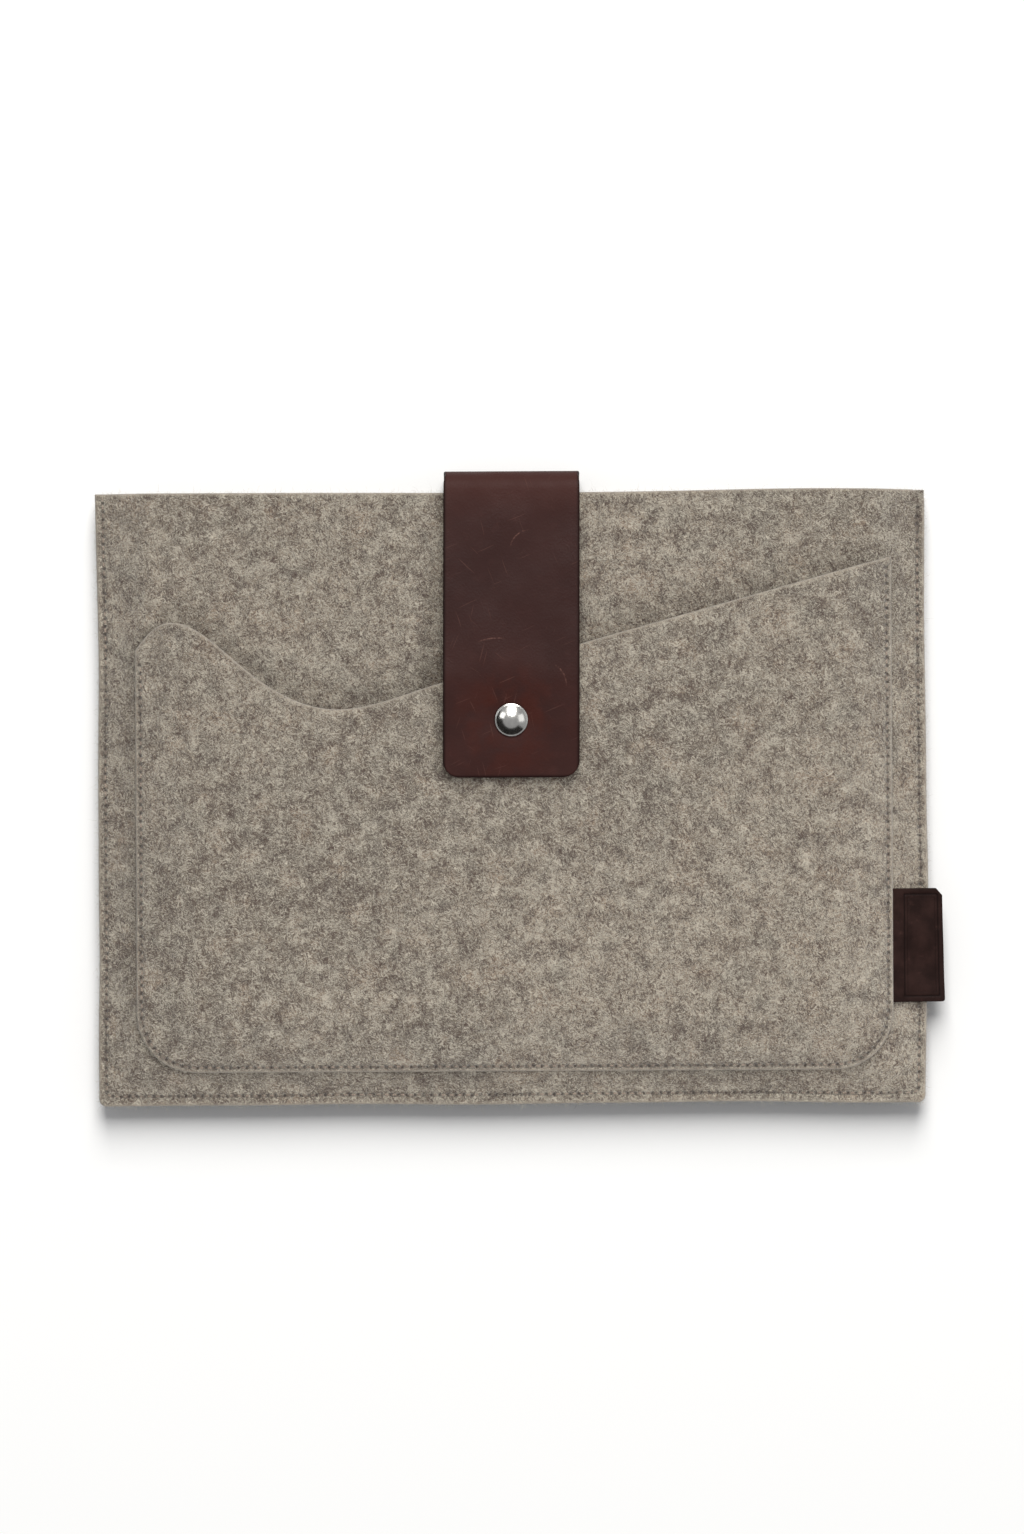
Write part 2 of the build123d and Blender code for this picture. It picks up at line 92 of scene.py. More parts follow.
FELT = 3 * MM
SEAM_Z = FRONT_LOW[2]
FRONT_Z = FRONT_HIGH[2]
POCKET_Z = POCKET_HIGH[2]
RISE = FRONT_Z - SEAM_Z - FELT
MOUTH_Y = FRONT_HIGH[1]
SEAM_MARGIN = 4.5 * MM
SLOPE_RUN = 17 * MM
POCKET_MARGIN = 6 * MM
POCKET_RISE = POCKET_Z - FRONT_Z - FELT
STRAP = 2 * MM
STRAP_FOLD_R = 9 * MM
STRAP_BEND_R = 60 * MM
STRAP_BEND_Y = 52 * MM
STRAP_AT_MOUTH_Z = 23.1 * MM
STRAP_END_R = 7 * MM
TAB = 1.5 * MM
SNAP_Y = (CAP_LOW[1] + CAP_HIGH[1]) / 2
SNAP_R = (CAP_HIGH[0] - CAP_LOW[0]) / 2
FAR = 9 * MM  # a distance from a row of stitches at which none of its marks show


def length_setting(name, description, default, low, high):
    """A length that a maker would change, in metres."""
    return FloatProperty(
        name=name, description=description, default=default, min=low, max=high,
        unit="LENGTH", precision=5,
    )


def colour_setting(name, description, default):
    """A colour that a maker would change."""
    return FloatVectorProperty(
        name=name, description=description, default=default, min=0, max=1,
        subtype="COLOR", size=3,
    )


class SleeveSizes(bpy.types.PropertyGroup):
    """Sizes that a maker would change."""

    stitch_pitch: length_setting(
        "Stitch pitch", "Distance from one stitch to the next", 3.45 * MM, 1 * MM, 10 * MM
    )
    stitch_share: FloatProperty(
        name="Stitch share", description="Visible part of each stitch, as a share of the pitch",
        default=0.62, min=0.2, max=0.95, subtype="FACTOR",
    )
    thread_radius: length_setting(
        "Thread radius", "Half the thickness of the sewing thread", 0.32 * MM, 0.1 * MM, 1 * MM
    )
    groove_depth: length_setting(
        "Groove depth", "How far a row of stitches pulls the felt down", 0.5 * MM, 0, 1.5 * MM
    )
    edge_round: length_setting(
        "Edge rounding", "Radius of the felt's cut edges", 0.9 * MM, 0.1 * MM, 1.5 * MM
    )
    edge_wander: length_setting(
        "Edge wander", "How far the cut edges stray from straight", 0.28 * MM, 0, 2 * MM
    )
    surface_fibres: IntProperty(
        name="Surface fibres", description="Loose fibres on the front of the sleeve",
        default=6500, min=0, max=8000,
    )
    edge_fibres: FloatProperty(
        name="Edge fibres", description="Loose fibres for each metre of cut edge",
        default=1500, min=0, max=4000,
    )


class SleeveColours(bpy.types.PropertyGroup):
    """Colours of the sleeve's materials."""

    felt: colour_setting("Felt", "Middle tone of the felt", (0.159, 0.134, 0.104))
    felt_dark: colour_setting(
        "Dark wool", "Dark fibres and blotches in the felt", (0.050, 0.0325, 0.0265)
    )
    felt_light: colour_setting(
        "Light wool", "Light fibres and blotches in the felt", (0.325, 0.295, 0.241)
    )
    thread: colour_setting("Thread", "Sewing thread", (0.130, 0.100, 0.079))
    strap: colour_setting("Strap leather", "Face of the strap's leather", (0.0232, 0.0090, 0.0078))
    tab: colour_setting("Tab leather", "Face of the tab's leather", (0.0120, 0.0057, 0.0048))
    nickel: colour_setting("Nickel", "Plating of the snap", (0.80, 0.78, 0.74))


# ---------------------------------------------------------------- shader expressions


def add_node(tree, kind, settings=None, values=None, out=0):
    """Adds one shader node. Settings are set first, then the values or wires of its sockets."""
    node = tree.nodes.new(kind)
    for name, value in (settings or {}).items():
        if name == "stops":
            ramp = node.color_ramp
            while len(ramp.elements) < len(value):
                ramp.elements.new(0.5)
            for element, (place, colour) in zip(ramp.elements, value):
                element.position = place
                element.color = colour
        else:
            setattr(node, name, value)
    for name, value in (values or {}).items():
        socket = node.inputs[name]
        if isinstance(value, Wire):
            tree.links.new(value.socket, socket)
        elif socket.type == "RGBA":
            socket.default_value = (*value, 1)
        else:
            socket.default_value = value
    return Wire(tree, node.outputs[out])


class Wire:
    """An output of a shader node. Arithmetic on wires and numbers adds the Math nodes."""

    def __init__(self, tree, socket):
        self.tree = tree
        self.socket = socket

    def math(self, operation, *values):
        """The result of a Math node whose first value is this wire."""
        return self.joined(operation, self, *values)

    def joined(self, operation, *values):
        """The result of a Math node on wires and numbers."""
        settings = {"operation": operation}
        return add_node(self.tree, "ShaderNodeMath", settings, dict(enumerate(values)))

    def __add__(self, other):
        return self.math("ADD", other)

    __radd__ = __add__

    def __mul__(self, other):
        return self.math("MULTIPLY", other)

    __rmul__ = __mul__

    def __sub__(self, other):
        return self.math("SUBTRACT", other)

    def __rsub__(self, other):
        return self.joined("SUBTRACT", other, self)

    def ramp(self, low, high):
        """Smooth step from 0 at low to 1 at high; low may be the larger one."""
        values = {"Value": self, "From Min": low, "From Max": high}
        settings = {"interpolation_type": "SMOOTHSTEP"}
        return add_node(self.tree, "ShaderNodeMapRange", settings, values)


class Finish:
    """A material under construction, with the patterns that felt, leather and metal share."""

    def __init__(self, name, **shader):
        self.material = bpy.data.materials.new(name)
        self.material.use_nodes = True
        self.tree = self.material.node_tree
        self.shader = self.tree.nodes["Principled BSDF"]
        for socket, value in shader.items():
            self.shader.inputs[socket.replace("_", " ")].default_value = value
        self.place = self.node("ShaderNodeTexCoord", out="Object")

    def node(self, kind, settings=None, values=None, out=0):
        """One shader node of this material."""
        return add_node(self.tree, kind, settings, values, out)

    def mark(self):
        """The piece's own flat coordinates, stored with its points."""
        return self.node("ShaderNodeAttribute", {"attribute_name": "flat"}, out="Vector")

    def parts(self, vector):
        """The three numbers of a vector."""
        split = self.node("ShaderNodeSeparateXYZ", values={0: vector})
        return [Wire(self.tree, split.socket.node.outputs[i]) for i in range(3)]

    def face(self, across, along):
        """A vector of two of the flat coordinates."""
        return self.node("ShaderNodeCombineXYZ", values={0: across, 1: along, 2: 0.0})

    def turned(self, vector, angle, scale, offset=(0, 0, 0)):
        """A vector turned about Z by an angle in degrees, then stretched."""
        turn = self.node(
            "ShaderNodeVectorRotate", {"rotation_type": "Z_AXIS"},
            {"Vector": vector, "Angle": math.radians(angle)},
        )
        return self.node(
            "ShaderNodeMapping", {"vector_type": "POINT"},
            {"Vector": turn, "Scale": scale, "Location": offset},
        )

    def noise(self, vector, scale, detail=2.0, roughness=0.5, distortion=0.0):
        """Soft noise from 0 to 1 whose blobs are about 1/scale metres wide."""
        values = {
            "Vector": vector, "Scale": scale, "Detail": detail,
            "Roughness": roughness, "Distortion": distortion,
        }
        return self.node("ShaderNodeTexNoise", {"noise_dimensions": "3D"}, values)

    def warped(self, vector, scale, amount):
        """A vector pushed about by noise, so that stretched patterns curl."""
        push = self.node(
            "ShaderNodeTexNoise", {"noise_dimensions": "3D"},
            {"Vector": vector, "Scale": scale, "Detail": 1.0}, out="Color",
        )
        centred = self.node(
            "ShaderNodeVectorMath", {"operation": "SUBTRACT"}, {0: push, 1: (0.5, 0.5, 0.5)}
        )
        return self.node(
            "ShaderNodeVectorMath", {"operation": "MULTIPLY_ADD"},
            {0: centred, 1: (amount, amount, amount), 2: vector},
        )

    def distance(self, vector, point):
        """Distance from a point."""
        return self.node(
            "ShaderNodeVectorMath", {"operation": "DISTANCE"}, {0: vector, 1: point}, out="Value"
        )

    def mix(self, factor, first, second):
        """First colour at factor 0, second at factor 1."""
        settings = {"data_type": "RGBA", "clamp_factor": True}
        return self.node("ShaderNodeMix", settings, {0: factor, 6: first, 7: second}, out=2)

    def use(self, **sockets):
        """Links wires to the shader's sockets."""
        for name, wire in sockets.items():
            self.tree.links.new(wire.socket, self.shader.inputs[name.replace("_", " ")])
        return self.material

    def bump(self, height, depth, under=None):
        """A normal from a height from 0 to 1, depth metres deep."""
        values = {"Height": height, "Distance": depth, "Strength": 1.0}
        if under:
            values["Normal"] = under
        return self.node("ShaderNodeBump", values=values)


# ---------------------------------------------------------------- materials


def colour_of(name):
    """A colour of the sleeve's colour settings."""
    return tuple(getattr(bpy.context.scene.sleeve_colours, name))


def shade(colour, factor):
    """A colour made lighter or darker."""
    return tuple(min(1.0, c * factor) for c in colour)


def felt_finish():
    """Mottled wool felt: clouds, blotches and short fibres lying every way, dark and light.
    The flat coordinates hold the distance from a row of stitches, the place along the row
    counted in stitches, and 1 on a cut edge. All the felt shares one material."""
    made = bpy.data.materials.get("mottled_wool_felt")
    if made:
        return made
    felt = Finish(
        "mottled_wool_felt", Roughness=0.95, Specular_IOR_Level=0.12,
        Sheen_Weight=0.25, Sheen_Roughness=0.5,
    )
    base, dark, light = colour_of("felt"), colour_of("felt_dark"), colour_of("felt_light")
    from_row, along_row, cut = felt.parts(felt.mark())

    cloud = felt.noise(felt.place, 9, 3.0, 0.6)
    colour = felt.mix(cloud.ramp(0.30, 0.72), shade(base, 0.68), shade(base, 1.30))
    tint = felt.noise(felt.warped(felt.place, 60, 0.008), 75, 2.0, 0.6)
    cool = (base[0] * 0.93, base[1], base[2] * 1.04)
    warm = (base[0] * 1.10, base[1] * 0.97, base[2] * 0.90)
    colour = felt.mix(tint.ramp(0.50, 0.70) * 0.8, colour, cool)
    colour = felt.mix(tint.ramp(0.48, 0.28) * 0.8, colour, warm)
    patch = felt.noise(felt.warped(felt.place, 90, 0.006), 150, 3.0, 0.62)
    colour = felt.mix(patch.ramp(0.50, 0.74) * 0.15, colour, dark)
    colour = felt.mix(patch.ramp(0.48, 0.26) * 0.10, colour, light)
    grain = felt.noise(felt.place, 1500, 2.0, 0.75)
    colour = felt.mix(grain.ramp(0.50, 0.74) * 0.80, colour, dark)
    colour = felt.mix(grain.ramp(0.50, 0.26) * 0.62, colour, light)

    curled = felt.warped(felt.place, 190, 0.0032)
    in_patch = (patch - 0.5) * 0.24
    height = grain * 0.35
    for angle, tone, sign in (
        (8, light, -1), (47, dark, 1), (83, light, -1), (112, dark, 1),
        (151, light, -1), (-24, dark, 1), (30, light, -1), (70, dark, 1),
    ):
        lying = felt.turned(curled, angle, (420, 2500, 1800), (angle, 0, 0))
        streak = (felt.noise(lying, 1.0, 1.0, 0.5) + in_patch * sign).ramp(0.56, 0.68)
        colour = felt.mix(streak * 0.72, colour, tone)
        height = height + streak * 0.3

    # Painted shade in the needle holes of each row of stitches, and a painted highlight on the felt
    # that puffs up between them
    near_row = from_row.math("ABSOLUTE").ramp(1.0 * MM, 0.3 * MM)
    beat = (along_row * (2 * math.pi)).math("COSINE")
    hole = near_row * beat.ramp(-0.35, -0.95)
    puff = near_row * beat.ramp(-0.6, 0.5)
    colour = felt.mix(hole * 0.7, colour, shade(dark, 0.6))
    colour = felt.mix(puff * 0.25, colour, light)
    # Painted highlight along the felt's cut edges, where they catch the light
    colour = felt.mix(cut * 0.45, colour, (light[0] * 0.98, light[1] * 0.93, light[2] * 0.90))
    swell = felt.noise(felt.place, 260, 2.0, 0.6)
    normal = felt.bump(swell, 0.9 * MM)
    normal = felt.bump(height, 0.30 * MM, normal)
    normal = felt.bump(puff - hole, 0.5 * MM, normal)
    return felt.use(Base_Color=colour, Normal=normal)


def fibre_finish(name, colour):
    """Plain wool fibre, a little lighter or darker from fibre to fibre."""
    wool = Finish(name, Roughness=0.8, Sheen_Weight=0.2)
    change = wool.noise(wool.place, 90, 1.0).ramp(0.3, 0.7)
    return wool.use(Base_Color=wool.mix(change, shade(colour, 0.8), shade(colour, 1.2)))


def thread_finish():
    """Twisted thread. The flat coordinates hold the place along a stitch and round it."""
    thread = Finish("waxed_brown_thread", Roughness=0.55, Sheen_Weight=0.1)
    along, around, _ = thread.parts(thread.mark())
    twist = ((along * 3.0 + around) * (2 * math.pi)).math("SINE") * 0.5 + 0.5
    tone = thread.noise(thread.place, 45, 1.0)
    base = colour_of("thread")
    colour = thread.mix(tone.ramp(0.35, 0.65), shade(base, 0.72), shade(base, 2.1))
    # Painted shade in the grooves between the thread's twists
    colour = thread.mix(twist.ramp(0.55, 0.0) * 0.6, colour, shade(base, 0.35))
    return thread.use(Base_Color=colour, Normal=thread.bump(twist, 0.12 * MM))


def leather_grain(leather, flat, scale):
    """Height of fine leather grain: small cells with creases between them, and pores."""
    curled = leather.warped(flat, scale * 0.6, 0.6 / scale)
    cells = leather.node(
        "ShaderNodeTexVoronoi", {"feature": "F1", "distance": "EUCLIDEAN"},
        {"Vector": curled, "Scale": scale, "Randomness": 1.0}, out="Distance",
    )
    fine = leather.noise(flat, scale * 2.6, 3.0, 0.65)
    return cells.ramp(0.75, 0.2) * 0.55 + fine * 0.45


def strap_finish():
    """Waxed pull-up leather: dark red-brown, clouded, redder round the snap and, as a painted
    highlight, lighter and redder where it bends over the mouth, with fine scratches, darker
    edges and a raw fleshy underside. The flat coordinates hold the place across and along the
    strap, and 1 on the underside."""
    leather = Finish("waxed_strap_leather", Roughness=0.5, Specular_IOR_Level=0.07)
    across, along, under = leather.parts(leather.mark())
    face = leather.face(across, along)
    base = colour_of("strap")

    cloud = leather.noise(face, 24, 3.0, 0.55)
    colour = leather.mix(cloud.ramp(0.32, 0.7), shade(base, 0.84), shade(base, 1.16))
    mottle = leather.noise(leather.warped(face, 60, 0.01), 150, 3.0, 0.6)
    colour = leather.mix(mottle.ramp(0.52, 0.75) * 0.35, colour, shade(base, 1.5))
    # Painted highlight, lighter and redder, where the strap curves over the mouth
    fold = along.ramp(STRAP_CREST - 12 * MM, STRAP_CREST) * along.ramp(
        STRAP_CREST + 24 * MM, STRAP_CREST + 2 * MM
    )
    colour = leather.mix(fold * 0.75, colour, (0.0395, 0.0142, 0.0117))
    snap = leather.distance(face, (0, STRAP_SNAP, 0))
    red = snap.ramp(34 * MM, 9 * MM) * leather.noise(face, 75, 3.0, 0.6).ramp(0.36, 0.66)
    colour = leather.mix(red * 0.75, colour, (0.0310, 0.0077, 0.0052))
    cool = along.ramp(STRAP_CREST + 20 * MM, STRAP_CREST + 40 * MM) * along.ramp(
        STRAP_SNAP - 16 * MM, STRAP_SNAP - 44 * MM
    )
    colour = leather.mix(cool * 0.45, colour, (0.0200, 0.0083, 0.0074))

    scratch = 0.0
    curled = leather.warped(face, 30, 0.006)
    for angle, offset, low in (
        (24, 3.1, 0.78), (-38, 7.7, 0.79), (72, 11.3, 0.80), (-71, 5.2, 0.79),
    ):
        lying = leather.turned(curled, angle, (62, 2100, 1), (offset, offset, 0))
        line = leather.noise(lying, 1.0, 0.0).ramp(low, low + 0.06) * 0.45
        scratch = line.math("MAXIMUM", scratch)
    for centre, radius, side in SCRATCH_ARCS:
        ring = (leather.distance(face, centre) - radius).math("ABSOLUTE")
        reach = leather.distance(face, side).ramp(6.5 * MM, 2 * MM)
        broken = leather.noise(face, 900, 2.0).ramp(0.35, 0.6)
        scratch = scratch.math("MAXIMUM", ring.ramp(0.42 * MM, 0.05 * MM) * reach * broken)
    colour = leather.mix(scratch * 0.45, colour, (0.14, 0.070, 0.056))
    rim = across.math("ABSOLUTE").ramp(FLAP_HIGH[0] - 1.6 * MM, FLAP_HIGH[0] - 0.1 * MM)
    rim = rim.math("MAXIMUM", along.ramp(STRAP_LENGTH - 1.6 * MM, STRAP_LENGTH - 0.1 * MM))
    colour = leather.mix(rim * 0.8, colour, shade(base, 0.3))
    flesh = leather.noise(face, 420, 4.0, 0.7)
    suede = leather.mix(flesh.ramp(0.3, 0.7), (0.058, 0.033, 0.023), (0.104, 0.062, 0.043))
    colour = leather.mix(under, colour, suede)

    grain = leather_grain(leather, face, 1050)
    rough = 0.44 + leather.noise(face, 55, 3.0).ramp(0.3, 0.7) * 0.14 + scratch * 0.15
    rough = rough * (1 - under) + under * 0.92
    normal = leather.bump(leather.noise(face, 45, 2.0), 0.8 * MM)
    normal = leather.bump(grain - scratch * 0.5, 0.07 * MM, normal)
    normal = leather.bump(flesh * under, 0.25 * MM, normal)
    return leather.use(Base_Color=colour, Roughness=rough, Normal=normal)


def tab_finish():
    """Smooth dark leather, pressed along a plain double border. The flat coordinates hold the
    place across and along the tab, and 1 on its cut edge or less than 0 in the border."""
    leather = Finish("pressed_tab_leather", Roughness=0.46, Specular_IOR_Level=0.07)
    across, along, cut = leather.parts(leather.mark())
    face = leather.face(across, along)
    base = colour_of("tab")
    cloud = leather.noise(face, 90, 3.0, 0.6)
    colour = leather.mix(cloud.ramp(0.3, 0.7), shade(base, 0.7), shade(base, 1.45))
    wear = leather.noise(face, 240, 4.0, 0.7).ramp(0.56, 0.76)
    colour = leather.mix(wear * 0.45, colour, shade(base, 3.2))
    colour = leather.mix(cut * 0.7, colour, shade(base, 0.45))
    colour = leather.mix(cut.ramp(-0.15, -0.9) * 0.8, colour, shade(base, 0.3))
    rough = 0.40 + cloud * 0.14 + wear * 0.1
    normal = leather.bump(leather_grain(leather, face, 1300), 0.06 * MM)
    return leather.use(Base_Color=colour, Roughness=rough, Normal=normal)


def nickel_finish(name, roughness, tone):
    """Plated metal with faint hairlines and a little smear."""
    metal = Finish(name, Metallic=1.0)
    base = shade(colour_of("nickel"), tone)
    smear = metal.noise(metal.place, 420, 3.0, 0.6)
    hair = metal.noise(metal.turned(metal.place, 31, (260, 5200, 900)), 1.0, 1.0)
    colour = metal.mix(smear.ramp(0.3, 0.7), shade(base, 0.94), shade(base, 1.04))
    rough = roughness + smear * 0.05 + hair.ramp(0.6, 0.8) * 0.06
    normal = metal.bump(hair, 0.004 * MM)
    return metal.use(Base_Color=colour, Roughness=rough, Normal=normal)


def floor_finish():
    """Plain pale paper."""
    paper = Finish("pale_paper", Roughness=0.9, Specular_IOR_Level=0.1)
    tone = paper.noise(paper.place, 3, 2.0)
    return paper.use(Base_Color=paper.mix(tone, (0.975, 0.975, 0.975), (0.98, 0.98, 0.98)))


def surround_finish():
    """Near-black cloth, which polished metal mirrors as its dark parts."""
    cloth = Finish("dark_cloth", Roughness=1.0)
    weave = cloth.noise(cloth.place, 2, 2.0)
    return cloth.use(Base_Color=cloth.mix(weave, (0.012, 0.011, 0.010), (0.03, 0.028, 0.026)))


# ---------------------------------------------------------------- shapes


def stacked(*parts):
    """Numbers that belong together, such as x, y and z, side by side on a last axis."""
    return np.stack(np.broadcast_arrays(*parts), axis=-1)


def bell(value, middle, width):
    """A soft hump: e to the minus ((value - middle) / width) squared."""
    return np.exp(-(((value - middle) / width) ** 2))


def ease(t, sharp=9.0):
    """A ramp from 0 to 1 whose two corners are rounded: the difference of two soft steps,
    (log(1 + e^(k t)) - log(1 + e^(k (t - 1)))) / k."""
    return (np.logaddexp(0, sharp * t) - np.logaddexp(0, sharp * (t - 1))) / sharp


def ripple(x, y, size, seed, waves=9):
    """Slow unevenness from -1 to 1: the mean of sine waves of about one length that run in
    different directions."""
    random = np.random.default_rng(seed)
    total = np.zeros(np.broadcast(x, y).shape)
    for _ in range(waves):
        angle, phase, length = random.uniform(0, 2 * np.pi, 3)
        number = 2 * np.pi / (size * (0.7 + 0.1 * length))
        total += np.sin(number * (x * np.cos(angle) + y * np.sin(angle)) + phase)
    return total / math.sqrt(waves * 2)


Outline = namedtuple("Outline", "left right bottom radius left_top right_top")


def inset(x, y, o):
    """Distance inside an outline that is open at the top and has two round lower corners:
    r - (|max(q, 0)| + min(max(qx, qy), 0)), with q measured from the corners' centres."""
    middle, half = (o.left + o.right) / 2, (o.right - o.left) / 2
    qx = np.abs(x - middle) - (half - o.radius)
    qy = o.bottom + o.radius - y
    outside = np.hypot(np.maximum(qx, 0), np.maximum(qy, 0))
    return o.radius - outside - np.minimum(np.maximum(qx, qy), 0)


def along(x, y, o):
    """Length of an outline from its left top to the point nearest to x, y: down the left side,
    round the corner by radius times angle, along the bottom, round again and up."""
    centre = o.bottom + o.radius
    side, turn = o.left_top - centre, o.radius * np.pi / 2
    base = o.right - o.left - 2 * o.radius
    in_left, in_right = x < o.left + o.radius, x > o.right - o.radius
    low = y < centre
    left_angle = np.arctan2(np.maximum(centre - y, 0), np.maximum(o.left + o.radius - x, 1e-9))
    right_angle = np.arctan2(np.maximum(x - o.right + o.radius, 0), np.maximum(centre - y, 1e-9))
    near_left = (x - o.left < o.right - x) & (x - o.left < y - o.bottom)
    near_right = (o.right - x <= x - o.left) & (o.right - x < y - o.bottom)
    return np.select(
        [low & in_left, low & in_right, near_left, near_right],
        [
            side + o.radius * left_angle,
            side + turn + base + o.radius * right_angle,
            o.left_top - y,
            side + 2 * turn + base + y - centre,
        ],
        side + turn + x - o.left - o.radius,
    )


def outline_length(o):
    """Whole length of an open outline."""
    sides = o.left_top + o.right_top - 2 * (o.bottom + o.radius)
    return sides + o.right - o.left - 2 * o.radius + np.pi * o.radius


def outline_point(s, o):
    """The place at a length along an outline, and the direction there: the inverse of along()."""
    centre = o.bottom + o.radius
    side, turn = o.left_top - centre, o.radius * np.pi / 2
    base = o.right - o.left - 2 * o.radius
    first = np.clip((s - side) / o.radius, 0, np.pi / 2)
    second = np.clip((s - side - turn - base) / o.radius, 0, np.pi / 2)
    down = np.clip(s, 0, side)
    across = np.clip(s - side - turn, 0, base)
    up = np.maximum(s - side - 2 * turn - base, 0)
    x = o.left + o.radius * (1 - np.cos(first)) + across + o.radius * np.sin(second)
    y = o.left_top - down - o.radius * np.sin(first) + o.radius * (1 - np.cos(second)) + up
    heading = first + second - np.pi / 2
    return x, y, np.cos(heading), np.sin(heading)


def wander(x, y):
    """Places moved as the felt strays at its outline, fading to nothing inside: sine waves
    along each edge, a left side drawn in, least at its upper corner and most at a waist, a right
    side that bulges by the tab, a lower edge that rises twice and a mouth that lifts at the
    right."""
    amount = bpy.context.scene.sleeve_sizes.edge_wander
    half = FRONT_HIGH[0]
    edge_x = np.clip(np.abs(x) / half, 0, 1.1) ** 12 * np.sign(x)
    edge_y = np.clip(-y / MOUTH_Y, 0, 1.1) ** 12
    lean = 0.25 * MM * np.clip((y - 0.06) / (MOUTH_Y - 0.06), 0, 1) - 0.5 * MM
    bulge = 0.9 * MM * bell(y, -0.035, 0.025) - 0.5 * MM
    bulge = bulge - 0.5 * MM * np.clip(-y / 0.12, 0, 1) ** 3
    waist = 0.7 * MM * (bell(y, 0.05, 0.035) + bell(y, -0.068, 0.025))
    rise = 0.7 * MM * bell(x, -0.077, 0.05) + 1.0 * MM * bell(x, 0.088, 0.055)
    lift = 0.8 * MM * bell(x, 0.125, 0.045) - 0.45 * MM * bell(x, 0, 0.07)
    side = 0.6 * np.sin(y / 0.017 + 0.4 * np.sign(x)) + 0.5 * np.sin(y / 0.041 + 2 * np.sign(x))
    dx = edge_x * (amount * side + np.where(x < 0, lean - waist, bulge))
    dy = edge_y * amount * (0.5 * np.sin(x / 0.031 + 1) + 0.4 * np.sin(x / 0.013))
    dy = dy + edge_y * rise + np.clip(y / MOUTH_Y, 0, 1.1) ** 12 * lift
    return x + dx, y + dy


PANEL = Outline(
    FRONT_LOW[0], FRONT_HIGH[0], FRONT_LOW[1], 3 * MM, FRONT_HIGH[1], FRONT_HIGH[1]
)
SEAM_ROW = Outline(
    SEAM_ROW_LOW[0], SEAM_ROW_HIGH[0], SEAM_ROW_LOW[1], 3 * MM, MOUTH_Y - 2 * MM, MOUTH_Y - 6 * MM
)
POCKET = Outline(
    POCKET_LOW[0], POCKET_HIGH[0], POCKET_LOW[1], 25 * MM, 62.7 * MM, 100.8 * MM
)
POCKET_ROW = Outline(
    POCKET_ROW_LOW[0], POCKET_ROW_HIGH[0], POCKET_ROW_LOW[1], 23.1 * MM, 58.5 * MM, 98.5 * MM
)


def front_level(x, y):
    """Upper face of the front panel without its stitches: level with the sewn border, then an
    eased slope up to the flat field, with slow unevenness."""
    inner = Outline(
        PANEL.left + SEAM_MARGIN, PANEL.right - SEAM_MARGIN, PANEL.bottom + SEAM_MARGIN,
        12 * MM, 0, 0,
    )
    t = inset(x, y, inner) / SLOPE_RUN
    return SEAM_Z + FELT + RISE * ease(t) + 0.28 * MM * ripple(x, y, 0.055, 3) * np.clip(t, 0, 1)


def pocket_level(x, y):
    """Upper face of the pocket without its stitches: one felt above the front panel, then an
    eased bulge over the pocket's hollow."""
    t = (inset(x, y, POCKET) - POCKET_MARGIN) / SLOPE_RUN
    bulge = POCKET_RISE * ease(t, 7.0)
    return front_level(x, y) + FELT + bulge + 0.15 * MM * ripple(x, y, 0.04, 5) * np.clip(t, 0, 1)


def over_tail(x, y):
    """1 over the strap's sewn tail, falling to 0 four millimetres outside it."""
    outside = np.hypot(np.maximum(np.abs(x) - TAIL_HIGH[0], 0), np.maximum(TAIL_LOW[1] - y, 0))
    return 0.5 + 0.5 * np.cos(np.pi * np.clip(outside / (4 * MM), 0, 1))


def groove(x, y, row):
    """How far the stitches of a row pull the felt in: depth times a bell across the row."""
    depth = bpy.context.scene.sleeve_sizes.groove_depth
    inside_ends = np.clip((np.where(x < 0, row.left_top, row.right_top) - y) / (3 * MM), 0, 1)
    return depth * bell(inset(x, y, row), 0, 0.8 * MM) * inside_ends


def rounded(distance, r):
    """How far an edge of radius r falls away: r - sqrt(r^2 - (r - d)^2) for d from 0 to r."""
    short = r - np.clip(distance, 0, r)
    return r - np.sqrt(np.maximum(r * r - short * short, 0))


def stations(low, high, step, fine):
    """Places from low to high: close together at both ends, then evenly spaced."""
    near = np.array(fine) * MM
    count = max(2, int(round((high - low - 2 * near[-1]) / step)))
    middle = np.linspace(low + near[-1], high - near[-1], count + 1)
    return np.concatenate([low + near[:-1], middle, high - near[:-1][::-1]])


EDGE_STEPS = (0, 0.15, 0.4, 0.75, 1.2, 1.7, 2.2, 2.7, 3.2, 3.7, 4.3, 5, 6, 7.5, 9.5, 12)


def columns(xs, low, high, fine=EDGE_STEPS, step=2.6 * MM):
    """A grid of places: one column for each x, from low to high, with rows that are close
    together near both ends."""
    length = np.max(high - low)
    shares = stations(0, length, step, fine) / length
    x = np.repeat(xs[:, None], len(shares), axis=1)
    y = low[:, None] + (high - low)[:, None] * shares[None, :]
    return x, y


def lower_edge(x, o):
    """Lower edge of an outline with round corners, as y for each x."""
    reach = np.maximum(np.maximum(o.left + o.radius - x, x - (o.right - o.radius)), 0)
    return o.bottom + o.radius - np.sqrt(np.maximum(o.radius**2 - reach**2, 0))


